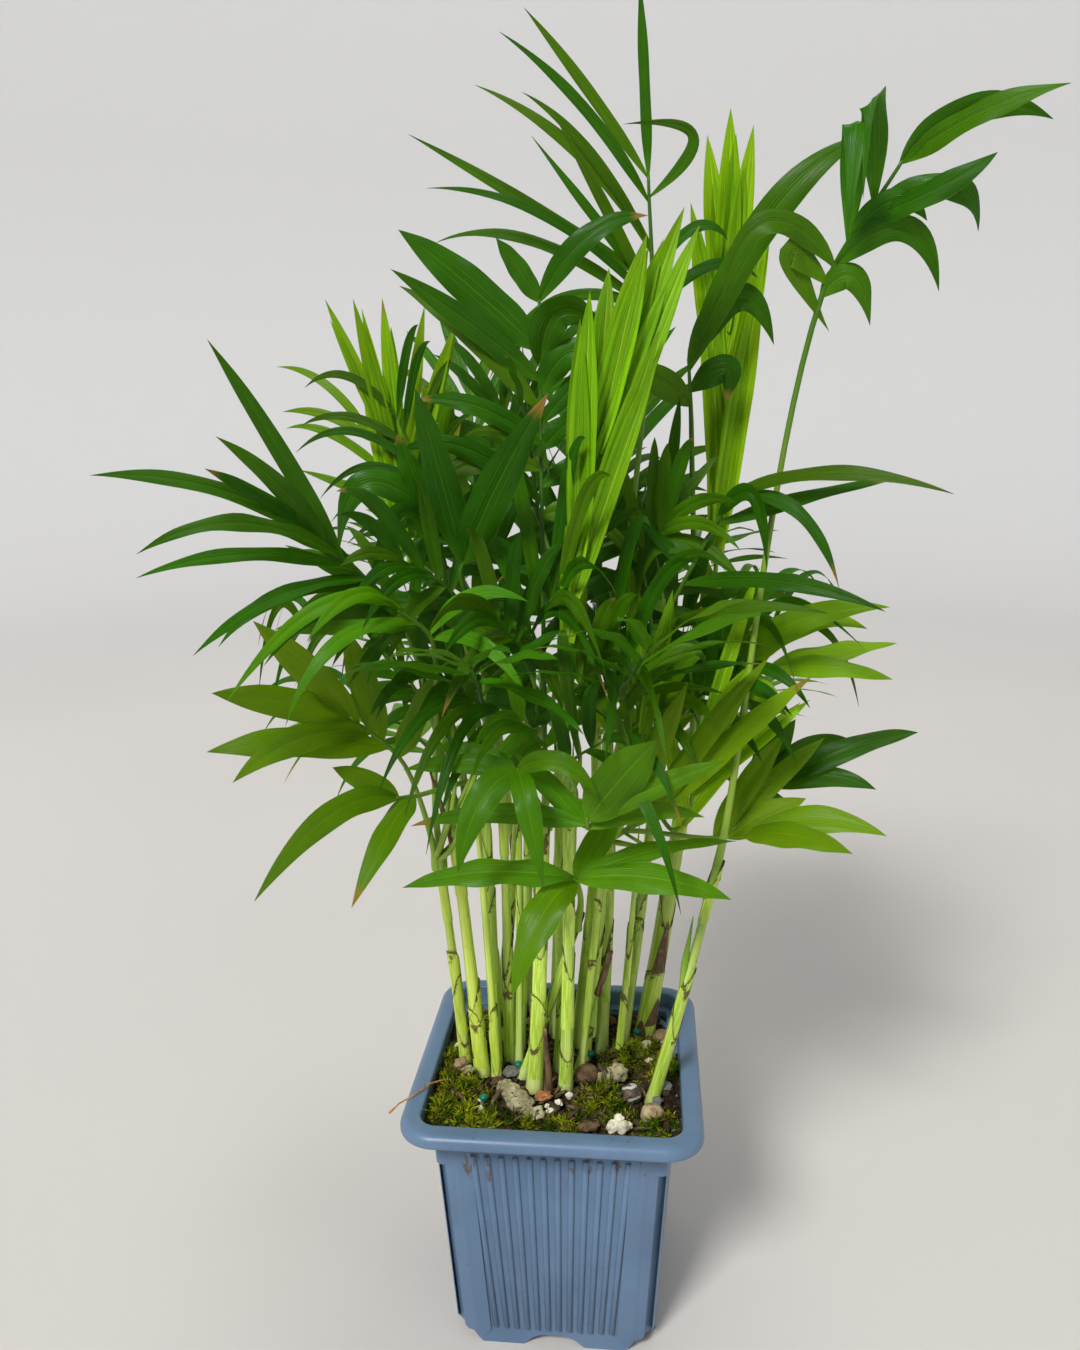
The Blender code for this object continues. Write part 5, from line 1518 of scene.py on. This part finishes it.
def build_body():
    """The tapering wall with chamfered corners, a sunk panel on each side, and arched feet."""
    top = BODY_TOP / 2
    body = tapered("body", (-top, -top, 0), (top, top, NECK))
    pick(body, edges=upright)
    bevel(CORNER_ROUNDING, 3)
    pick(body, faces=lambda middle, normal: abs(normal.z) < 0.5 and max(abs(normal.x), abs(normal.y)) > 0.98)
    inset(PANEL_BORDER, -PANEL_DEPTH, use_individual=True)
    finished_editing()
    cut(body, tapered("inner", (-top + WALL, -top + WALL, FLOOR_UNDERSIDE + FLOOR_THICKNESS),
                      (top - WALL, top - WALL, NECK + 5)))
    low = BODY_BOTTOM / 2 - WALL - 0.6
    cut(body, chamfered(block("under", (-low, -low, CUT_FROM), (low, low, FLOOR_UNDERSIDE))))
    half, share = ARCH_BOTTOM / 2, ARCH_TOP / ARCH_BOTTOM
    for x, y, x_share, y_share in ((ARCH_REACH, half, 1, share), (half, ARCH_REACH, share, 1)):
        arch = block("arch", (-x, -y, CUT_FROM), (x, y, FOOT_LIFT))
        pick(arch, faces=facing_up)
        narrow(x_share, y_share)
        pick(arch, edges=lambda a, b: min(a.z, b.z) > FOOT_LIFT - 0.1 and (a - b).length > 20)
        bevel(ARCH_ROUNDING, 4)
        cut(body, arch)
    near, shift = FOOT_OUTER / 2, (FOOT_OUTER_TOP - FOOT_OUTER) / 2
    for sx in (-1, 1):
        for sy in (-1, 1):
            xs = sorted((sx * near, sx * CORNER_REACH))
            ys = sorted((sy * near, sy * CORNER_REACH))
            corner = block("corner", (xs[0], ys[0], CUT_FROM), (xs[1], ys[1], FOOT_LIFT))
            pick(corner, faces=facing_up)
            bpy.ops.transform.translate(value=Vector((sx * shift, sy * shift, 0)) * MM)
            cut(body, corner)
            cut(body, rod("drain", (sx * DRAIN_OFFSET, sy * DRAIN_OFFSET, 4), DRAIN_RADIUS, 8, 24))
    smooth(body, 35)
    return body


def wall_half(height):
    """Half the body's width at a height."""
    return BODY_BOTTOM / 2 + (BODY_TOP - BODY_BOTTOM) / 2 * height / NECK


def build_panel_ribs():
    """One slim half-round rib, copied across each sunk panel and fanned a little towards the top."""
    half_way = Vector((0, 0, (RIB_LOW + RIB_HIGH) / 2))
    first = rod("rib", half_way, RIB_RADIUS, RIB_HIGH - RIB_LOW, 12)
    edited(first)
    pick(first, faces=lambda middle, normal: abs(normal.z) > 0.9)
    inset(RIB_END_INSET, RIB_END_RISE)
    finished_editing()
    about = Matrix.Translation(at(0, 0, 0))
    ribs = []
    for quarter in range(4):
        turn = Matrix.Rotation(quarter * math.pi / 2, 4, "Z")
        for k in range(RIBS):
            share = k / (RIBS - 1) - 0.5
            rib = first.copy()
            rib.data = first.data.copy()
            bpy.context.collection.objects.link(rib)
            foot = Vector((wall_half(RIB_LOW) - PANEL_DEPTH, RIBS_SPREAD_LOW * share, RIB_LOW))
            head = Vector((wall_half(RIB_HIGH) - PANEL_DEPTH, RIBS_SPREAD_HIGH * share, RIB_HIGH))
            way = UP.rotation_difference((head - foot).normalized()).to_matrix().to_4x4()
            middle = Matrix.Translation((foot + head) / 2 * MM)
            place = about @ turn @ middle @ way @ Matrix.Translation(-half_way * MM)
            rib.data.transform(place @ about.inverted())
            ribs.append(rib)
    bpy.data.objects.remove(first, do_unlink=True)
    piece = joined("ribs_of_panels", ribs)
    smooth(piece, 50)
    return piece


def build_pot():
    pot = joined("pot_shell", [build_rim(), build_body(), build_panel_ribs()])
    bpy.ops.object.select_all(action="DESELECT")
    placed(pot, plastic_finish(), ["pot"])


# Compost, moss and what lies on it

# Each mound: its place, its reach, its height and how mossy it is
MOUNDS = (
    (-24.5, -19.0, 7.5, 4.6, 0.95), (-25.5, -8.5, 6.0, 3.8, 0.9), (-14.5, -23.5, 6.0, 3.2, 0.9),
    (-26.0, 2.0, 5.5, 3.4, 0.85), (-20.0, -13.5, 5.5, 3.2, 0.7), (-7.5, -23.0, 5.0, 2.4, 0.8),
    (11.5, -10.5, 5.5, 3.6, 0.95), (14.5, -17.5, 5.5, 2.6, 0.85), (2.0, -22.0, 5.0, 1.8, 0.75),
    (15.5, 4.0, 6.0, 3.6, 0.9), (22.0, 7.5, 6.0, 4.0, 0.9), (25.5, 0.5, 5.5, 3.6, 0.9),
    (24.0, -21.5, 5.0, 2.6, 0.9), (8.0, -15.0, 4.5, 2.2, 0.8), (-12.0, 12.0, 7.0, 2.0, 0.4),
    (4.0, 20.0, 9.0, 2.6, 0.5), (20.0, 20.0, 7.0, 3.0, 0.6), (-22.0, 19.0, 7.0, 2.8, 0.6),
)


def ground_height(x, y):
    """The compost's top above its level, with how mossy it is there."""
    spot = Vector((x, y, 0))
    rise = 0.9 * noise.noise(spot * 0.16) + 0.55 * noise.noise(spot * 0.5) + 0.3 * noise.noise(spot * 1.3)
    mossy = 0.0
    for mx, my, reach, height, share in MOUNDS:
        away = math.hypot(x - mx, y - my) / reach
        if away < 1.6:
            swell = math.exp(-1.8 * away * away)
            rise += height * swell * 0.95
            mossy = max(mossy, share * min(1.0, swell * 2.0))
    clump = noise.noise(spot * 0.45 + UP * 9)
    rise += mossy * (1.5 * clump + 0.5 * noise.noise(spot * 0.95 + UP * 4))
    mossy *= 0.72 + 0.9 * clump
    edge = max(abs(x), abs(y)) - 24.5
    bare_corner = y > 18 or (x > 22 and y > 8)
    if edge > 0 and not bare_corner:
        rise = max(rise, 2.3 + 0.6 * noise.noise(spot * 0.6)) if edge > 2 else max(rise, rise + edge * 0.6)
    return rise, max(0.0, min(1.0, mossy))


SOIL_REACH = 30.0
SOIL_SQUARES = 140
ROUND_FROM = 26
MOSS_TUFTS = 2600
MOSS_REACH = 29.4
CRUMBS = 1200
CRUMB_REACH = 26.8
FLAKES = 150
FLAKE_REACH = 25.5


def past_corner(x, y):
    """How far a place is into one of the pot's rounded corners."""
    return math.hypot(max(0, abs(x) - ROUND_FROM), max(0, abs(y) - ROUND_FROM))


def build_soil():
    bpy.ops.object.select_all(action="DESELECT")
    bpy.ops.mesh.primitive_grid_add(x_subdivisions=SOIL_SQUARES, y_subdivisions=SOIL_SQUARES,
                                    size=2 * SOIL_REACH * MM, location=at(0, 0, SOIL_TOP))
    soil = as_placed("compost")
    tint = soil.data.color_attributes.new("tint", "FLOAT_COLOR", "POINT")
    for k, vertex in enumerate(soil.data.vertices):
        place = (vertex.co - HOME) / MM
        rise, mossy = ground_height(place.x, place.y)
        if past_corner(place.x, place.y) > 4.0:
            rise = 0.5
        vertex.co.z += rise * MM
        tint.data[k].color = (mossy, 0, 0, 1)
    soil.data.shade_smooth()
    placed(soil, soil_finish(), ["soil"])


def scattered(name, shapes, finish, nodes=()):
    """Joins many small copies of a shape into one mesh. Each entry is the shape's points and faces, a
    matrix, a tint and how rough it is."""
    points, faces, tints = [], [], []
    for (base_points, base_faces), matrix, tint, rough in shapes:
        first = len(points)
        for p in base_points:
            points.append(matrix @ (p * (1 + rough * noise.noise(p * 1.7 + Vector(tint) * 31))))
        faces += [tuple(first + i for i in face) for face in base_faces]
        tints += [tint] * len(base_points)
    mesh_piece(name, points, faces, tints, finish, nodes)


def ball(steps):
    """The points and faces of a small round ball of radius 1."""
    bpy.ops.object.select_all(action="DESELECT")
    bpy.ops.mesh.primitive_ico_sphere_add(subdivisions=steps, radius=1)
    made = bpy.context.active_object
    points = [v.co.copy() for v in made.data.vertices]
    faces = [tuple(p.vertices) for p in made.data.polygons]
    bpy.data.objects.remove(made, do_unlink=True)
    return points, faces


def lump(place, sizes, turn=0.0, tip=0.0):
    return (Matrix.Translation(Vector(place)) @ Matrix.Rotation(turn, 4, "Z") @ Matrix.Rotation(tip, 4, "X")
            @ Matrix.Diagonal((*sizes, 1)))


def shoot(foot, tall, colour, gloom, dice):
    """One three-sided shoot of a tuft: its points, dark below and bright at the tip, and their tints.
    The dark foot and bright tip are partly the moss's own colour, partly painted shade low in the mat and
    painted highlights on the tips.
    """
    yellow, brown = colour
    heading = dice.uniform(0, TURN)
    lean = dice.uniform(0.15, 1.1)
    long = tall * dice.uniform(0.7, 1.2)
    way = around(heading, lean, 1).normalized()
    side = way.cross(UP).normalized()
    other = way.cross(side)
    thick = dice.uniform(0.09, 0.17)
    droop = around(heading, 1.0, -0.5) * 0.28 * long * lean
    shade = dice.uniform(0.7, 1.3) * gloom
    points, tints = [], []
    # Darker at the foot, brighter at the tip: partly the moss's own colour, partly painted shade low in the
    # mat and painted highlights on the tips.
    for share, width, light in ((0.0, 0.8, 0.30), (0.55, 1.3, 0.85)):
        middle = foot + way * long * share + droop * share * share
        for k in range(3):
            points.append(middle + between(side, other, TURN * k / 3) * thick * width)
            tints.append((shade * light, yellow * light, brown))
    points.append(foot + way * long + droop)
    tints.append((shade * 1.5, min(1.0, yellow * 1.3), brown))
    return points, tints


def build_moss():
    """Tufts of soft shoots, thick on the mounds and thin between them."""
    dice = random.Random(41)
    points, faces, tints = [], [], []
    tufts = 0
    while tufts < MOSS_TUFTS:
        x = dice.uniform(-MOSS_REACH, MOSS_REACH)
        y = dice.uniform(-MOSS_REACH, MOSS_REACH)
        rise, mossy = ground_height(x, y)
        if past_corner(x, y) > 3.4:
            continue
        if dice.random() > mossy ** 1.6:
            continue
        tufts += 1
        foot = Vector((x, y, SOIL_TOP + rise - 0.3))
        patch = noise.noise(Vector((x, y, 3)) * 0.22)
        gloom = 1 + 0.9 * noise.noise(Vector((x, y, 8)) * 0.30)
        yellow = min(1.0, max(0.0, dice.gauss(0.38 + 0.9 * patch, 0.22)))
        brown = 1.0 if dice.random() < 0.10 else 0.0
        tall = dice.uniform(0.7, 2.6) * (0.5 + 0.8 * mossy) * (1.7 if dice.random() < 0.07 else 1.0)
        for _ in range(4):
            first = len(points)
            new_points, new_tints = shoot(foot, tall, (yellow, brown), gloom, dice)
            points += new_points
            tints += new_tints
            for k in range(3):
                j = (k + 1) % 3
                faces.append((first + k, first + j, first + 3 + j, first + 3 + k))
                faces.append((first + 3 + k, first + 3 + j, first + 6))
    mesh_piece("moss", points, faces, tints, moss_finish())


# Each stone: its finish, its place, its half sizes, its turn and how lumpy it is
STONES = (
    ("pale", (-11.2, -12.2, 61.4), (3.0, 2.2, 2.2), 0.5, 0.45),
    ("pale", (-8.0, -15.6, 61.2), (3.2, 2.6, 2.2), -0.3, 0.45),
    ("pale", (-5.0, -19.0, 60.6), (2.8, 2.0, 1.7), 0.4, 0.45),
    ("pale", (-13.0, -9.6, 61.2), (2.0, 1.4, 1.5), 0.9, 0.45),
    ("pale", (14.6, -3.6, 62.4), (2.7, 2.2, 2.1), 0.2, 0.40),
    ("pale", (11.6, -5.2, 62.0), (1.9, 1.6, 1.3), 0.2, 0.45),
    ("striped", (18.2, -10.6, 61.6), (2.6, 2.4, 2.3), 0.3, 0.08),
    ("round", (23.4, -18.2, 61.6), (2.9, 2.7, 2.6), 0.0, 0.10),
    ("white", (14.2, -23.0, 61.4), (1.6, 1.4, 1.6), 0.8, 0.30),
    ("white", (16.4, -23.2, 61.6), (1.5, 1.3, 1.7), 0.3, 0.30),
    ("white", (15.6, -21.4, 62.2), (1.3, 1.2, 1.5), 0.1, 0.30),
    ("white", (17.9, -22.0, 61.2), (0.9, 0.8, 0.9), 0.4, 0.30),
    ("tan", (26.0, 13.8, 62.0), (2.4, 2.0, 1.8), 0.4, 0.15),
    ("grey", (-12.0, -3.0, 60.8), (2.2, 1.6, 1.4), 0.4, 0.25),
    ("tan", (-24.5, -5.4, 64.0), (2.0, 1.5, 1.4), 0.9, 0.40),
    ("pale", (-22.5, -7.0, 63.4), (1.5, 1.2, 1.1), 0.4, 0.45),
    ("tan", (-16.5, 7.5, 60.8), (2.2, 1.8, 1.6), 0.2, 0.30),
    ("white", (-26.5, 5.5, 62.0), (2.0, 1.3, 1.1), 1.2, 0.30),
    ("tan", (-13.4, -23.5, 61.0), (1.6, 1.3, 1.1), 0.1, 0.45),
    ("orange", (-12.2, -24.6, 61.2), (0.8, 0.7, 0.7), 0.1, 0.45),
    ("grey", (26.6, -8.0, 62.0), (1.8, 1.5, 1.3), 0.6, 0.25),
    ("grey", (24.6, -12.4, 61.4), (1.3, 1.1, 0.9), 0.2, 0.25),
    ("white", (-18.4, -17.6, 61.8), (1.6, 0.9, 0.8), 0.9, 0.45),
    ("white", (-17.4, -19.6, 61.8), (0.9, 0.9, 0.8), 0.7, 0.45),
    ("brown", (7.4, -4.6, 62.2), (2.9, 2.7, 2.6), 0.0, 0.08),
    ("brown", (8.6, -23.0, 61.2), (2.6, 1.5, 0.9), 0.4, 0.35),
    ("brown", (-14.8, -7.6, 61.0), (1.9, 1.5, 1.2), 0.4, 0.35),
    ("orange", (-3.0, -12.6, 61.2), (2.0, 1.4, 1.1), 0.2, 0.45),
    ("white", (0.8, -14.2, 60.6), (1.0, 0.9, 0.8), 0.0, 0.40),
    ("white", (-0.9, -17.2, 60.6), (1.0, 0.8, 0.7), 0.5, 0.40),
    ("white", (3.2, -11.4, 60.8), (0.9, 0.8, 0.7), 0.2, 0.40),
    ("white", (-1.8, -15.4, 60.6), (0.6, 0.5, 0.5), 0.5, 0.40),
    ("white", (22.6, 1.4, 62.8), (1.0, 0.8, 0.8), 0.4, 0.35),
    ("white", (15.9, 18.6, 61.0), (1.0, 0.8, 0.8), 0.4, 0.35),
    ("pale", (21.8, 7.6, 63.2), (1.6, 1.2, 1.2), 0.4, 0.35),
    ("pale", (27.0, 9.2, 62.6), (1.7, 1.4, 1.4), 0.4, 0.35),
    ("brown", (12.0, 21.5, 61.0), (1.9, 1.5, 1.2), 0.4, 0.25),
    ("grey", (4.0, 23.0, 61.0), (2.0, 1.6, 1.4), 0.4, 0.25),
    ("tan", (-9.0, 20.0, 61.0), (1.8, 1.6, 1.4), 0.4, 0.25),
)
# The finish of each kind of stone but the striped one: its name, two mottled colours, the colour of
# the spots, how fine the mottling is, and how rare the spots are
STONE_FINISHES = {
    "pale": ("stone_pale", (0.50, 0.46, 0.29), (0.27, 0.24, 0.12), (0.07, 0.055, 0.03), 260, 0.58),
    "round": ("stone_round", (0.52, 0.42, 0.25), (0.13, 0.065, 0.035), (0.62, 0.52, 0.36), 170, 0.66),
    "white": ("stone_white", (0.86, 0.84, 0.68), (0.66, 0.62, 0.46), (0.34, 0.26, 0.14), 420, 0.68),
    "tan": ("stone_tan", (0.36, 0.25, 0.15), (0.24, 0.15, 0.08), (0.50, 0.40, 0.28), 300, 0.64),
    "grey": ("stone_grey", (0.20, 0.20, 0.19), (0.12, 0.11, 0.10), (0.36, 0.34, 0.30), 340, 0.64),
    "brown": ("stone_brown", (0.085, 0.050, 0.026), (0.19, 0.12, 0.065), (0.035, 0.02, 0.012), 320, 0.6),
    "orange": ("bark_orange", (0.46, 0.20, 0.075), (0.28, 0.11, 0.04), (0.62, 0.36, 0.18), 420, 0.6),
}
CRUMB_FINISH = ("crumbs", (0.030, 0.018, 0.010), (0.085, 0.050, 0.028), (0.22, 0.14, 0.08), 700, 0.64)
# Small round balls of feed, and how large they are
BALLS = ((-17.0, -16.4, 62.6), (-10.4, -1.0, 61.6), (-26.8, 12.0, 61.8), (7.8, 5.6, 61.2),
         (19.4, 14.6, 62.4), (2.0, 20.5, 61.0), (-20.0, 23.0, 61.2))
BALL_SIZES = (1.05, 1.05, 1.0)


def build_stones():
    nodes = {"pale": ["pebble_pale"], "striped": ["pebble_striped"], "round": ["pebble_round"]}
    base = ball(4)
    for kind in (*STONE_FINISHES, "striped"):
        finish = striped_finish() if kind == "striped" else stone_finish(*STONE_FINISHES[kind])
        shapes = [(base, lump(place, sizes, turn), (k * 0.13 + 0.1, 0.3, 0.5), rough)
                  for k, (each, place, sizes, turn, rough) in enumerate(STONES) if each == kind]
        scattered("stones_" + kind, shapes, finish, nodes.get(kind, ()))
    small = ball(3)
    shapes = [(small, lump(place, BALL_SIZES), (0.5, 0.5, 0.5), 0.05) for place in BALLS]
    waxy = mottled_finish("teal_wax", 0.35, 400.0, (0.0, 0.12, 0.075), (0.01, 0.22, 0.13))
    scattered("feed_balls", shapes, waxy)


def build_crumbs():
    """Crumbs of compost, from dust to lumps, over the whole surface."""
    dice = random.Random(47)
    base = ball(2)
    shapes = []
    for _ in range(CRUMBS):
        x = dice.uniform(-CRUMB_REACH, CRUMB_REACH)
        y = dice.uniform(-CRUMB_REACH, CRUMB_REACH)
        rise, mossy = ground_height(x, y)
        if mossy > 0.6 and dice.random() < 0.60:
            continue
        size = 0.28 + 0.9 * dice.random() ** 3
        sizes = [size * dice.uniform(0.6, 1.3) for _ in range(3)]
        shapes.append((base, lump((x, y, SOIL_TOP + rise + size * 0.2), sizes, dice.uniform(0, 6)),
                       (dice.random(), dice.random(), dice.random()), 0.5))
    scattered("crumbs", shapes, stone_finish(*CRUMB_FINISH))


def build_litter():
    """Curled brown flakes of old sheath and bark, lying between the stems and on the moss."""
    dice = random.Random(53)
    grids = []
    while len(grids) < FLAKES:
        x = dice.gauss(0, 13)
        y = dice.gauss(-2, 13)
        if max(abs(x), abs(y)) > FLAKE_REACH:
            continue
        rise, mossy = ground_height(x, y)
        heading = dice.uniform(0, TURN)
        way = around(heading, 1.0, dice.uniform(-0.3, 0.9)).normalized()
        side = way.cross(UP).normalized()
        lift = side.cross(way)
        long = dice.uniform(1.2, 5.0)
        wide = dice.uniform(0.25, 0.8)
        curl = dice.uniform(-0.4, 0.9)
        rows = []
        for level in range(6):
            share = level / 5
            half = wide * math.sin(math.pi * (0.15 + 0.8 * share))
            middle = Vector((x, y, SOIL_TOP + rise + 0.5 + mossy)) + way * long * share
            middle += lift * curl * long * 0.4 * share * share
            rows.append([middle + side * half * u + lift * half * 0.6 * u * u for u in (-1, 0, 1)])
        grids.append({"rows": rows, "tint": (dice.uniform(0.5, 1.4), 0.0, 0.0)})
    grid_piece("litter", grids, dry_finish())


ROOT_PATH = ((-24.0, -10.0, 62.5), (-27.0, -13.4, 65.0), (-30.0, -16.6, 65.9), (-33.4, -21.4, 65.6),
             (-36.0, -23.4, 65.0), (-38.0, -25.2, 63.6))
ROOT_RADII = (0.20, 0.24, 0.22, 0.20, 0.17, 0.30)


def build_root():
    """A loose root that lies over the rim."""
    grid = tube([Vector(p) for p in ROOT_PATH], ROOT_RADII, 8, NO_TINT, (0, len(ROOT_PATH) - 1))
    finish = mottled_finish("root_orange", 0.6, 700.0, (0.30, 0.13, 0.025), (0.55, 0.26, 0.05))
    grid_piece("loose_root", [grid], finish)


# Stage, light and camera

STAGE_SIDES = 96
CURVE_FROM = 1.0
CURVE_RADIUS = 0.6
CURVE_STEPS = 12
WALL_RISE = 0.7


def build_stage():
    """A round floor that curves up into a wall, open at the top."""
    bpy.ops.object.select_all(action="DESELECT")
    bpy.ops.mesh.primitive_circle_add(vertices=STAGE_SIDES, radius=CURVE_FROM, fill_type="NGON",
                                      location=HOME)
    floor = as_placed("pale_floor")
    edited(floor)
    bpy.ops.mesh.select_mode(type="EDGE")
    bpy.ops.mesh.select_all(action="SELECT")
    bpy.ops.mesh.region_to_loop()
    reach = CURVE_FROM
    step = math.radians(90) / CURVE_STEPS
    for k in range(1, CURVE_STEPS + 1):
        angle = math.radians(90) * k / CURVE_STEPS
        wanted = CURVE_FROM + CURVE_RADIUS * math.sin(angle)
        rise = CURVE_RADIUS * (math.cos(angle - step) - math.cos(angle))
        bpy.ops.mesh.extrude_region_move(TRANSFORM_OT_translate={"value": (0, 0, rise)})
        narrow(wanted / reach, wanted / reach)
        reach = wanted
    bpy.ops.mesh.extrude_region_move(TRANSFORM_OT_translate={"value": (0, 0, WALL_RISE)})
    finished_editing()
    select_only(floor)
    bpy.ops.object.shade_smooth()
    finish = Finish("pale_paper", 0.9)
    cloud = finish.noise(finish.spot(), 2.0, 2.0)
    spread = finish.node("ShaderNodeVectorMath", {"operation": "LENGTH"}, {0: finish.spot()}, "Value")
    near = finish.mix(cloud.step(0.3, 0.7), (0.585, 0.560, 0.530), (0.625, 0.60, 0.575))
    floor.data.materials.append(finish.done(finish.mix(spread.step(0.4, 1.5), near, (0.62, 0.62, 0.62))))


# Each lamp: its place from the pot in metres, its size, its strength and its colour
LAMPS = {
    "key": ((-0.90, -1.90, 2.10), 0.8, 80.0, (1.0, 0.99, 0.97)),
    "fill": ((1.75, -1.45, 1.50), 1.0, 16.0, (1.0, 0.96, 0.91)),
    "top": ((0.30, 0.75, 2.75), 1.2, 18.0, (0.98, 0.99, 1.0)),
}
LAMPS_AIM = (0, 0, 150)


def build_lights():
    for name, (place, size, strength, colour) in LAMPS.items():
        lamp = bpy.data.lights.new(name, "AREA")
        lamp.shape = "DISK"
        lamp.size = size
        lamp.energy = strength
        lamp.color = colour
        light = bpy.data.objects.new(name, lamp)
        bpy.context.collection.objects.link(light)
        start = HOME + Vector(place)
        aim = (at(*LAMPS_AIM) - start).to_track_quat("-Z", "Y")
        light.matrix_world = Matrix.LocRotScale(start, aim, None)
    world = bpy.data.worlds.new("pale_room")
    bpy.context.scene.world = world
    world.use_nodes = True
    background = world.node_tree.nodes["Background"]
    background.inputs["Color"].default_value = (0.93, 0.95, 1.0, 1)
    background.inputs["Strength"].default_value = 0.20
    bpy.context.scene.view_settings.view_transform = "Standard"


# Where the picture is taken from: place, heading, dip and tilt, found from the pot's rim
EYE = (20.1, -236.5, 222.5)
HEADING = 5.74
DIP = 13.97
TILT = -0.77
LENS = 28.27


def build_camera():
    a, d, r = (math.radians(x) for x in (HEADING, DIP, TILT))
    ahead = Vector((-math.sin(a) * math.cos(d), math.cos(a) * math.cos(d), -math.sin(d)))
    right = Vector((math.cos(a), math.sin(a), 0))
    upward = right.cross(ahead)
    side = right * math.cos(r) + upward * math.sin(r)
    head = upward * math.cos(r) - right * math.sin(r)
    lens = bpy.data.cameras.new("view")
    lens.sensor_fit = "VERTICAL"
    lens.sensor_height = 36.0
    lens.lens = LENS
    lens.clip_start = 0.01
    camera = bpy.data.objects.new("view", lens)
    bpy.context.collection.objects.link(camera)
    turn = Matrix((side, head, -ahead)).transposed().to_4x4()
    camera.matrix_world = Matrix.Translation(at(*EYE)) @ turn
    bpy.context.scene.camera = camera


# The whole picture

def build_plant():
    space = Space()
    for number in STEMS:
        path, radii = stem_path(number)
        space.add("stem_%02d" % number, Space.shell(tube_rings(path, [r + GUARD for r in radii], STEM_SIDES)))
    paths, fine_paths = fit_ribs(space, FRONDS)
    fitted = fit_leaves(space, FRONDS, paths)
    paths, inner_paths = fit_ribs(space, INNER)
    fitted.update(fit_leaves(space, INNER, paths))
    build_leaves(FRONDS + INNER, fitted)
    build_ribs(FRONDS + INNER, {**fine_paths, **inner_paths})
    build_stems()
    build_dry_bits()


build_pot()
build_soil()
build_moss()
build_stones()
build_crumbs()
build_litter()
build_root()
build_plant()
build_stage()
build_lights()
build_camera()
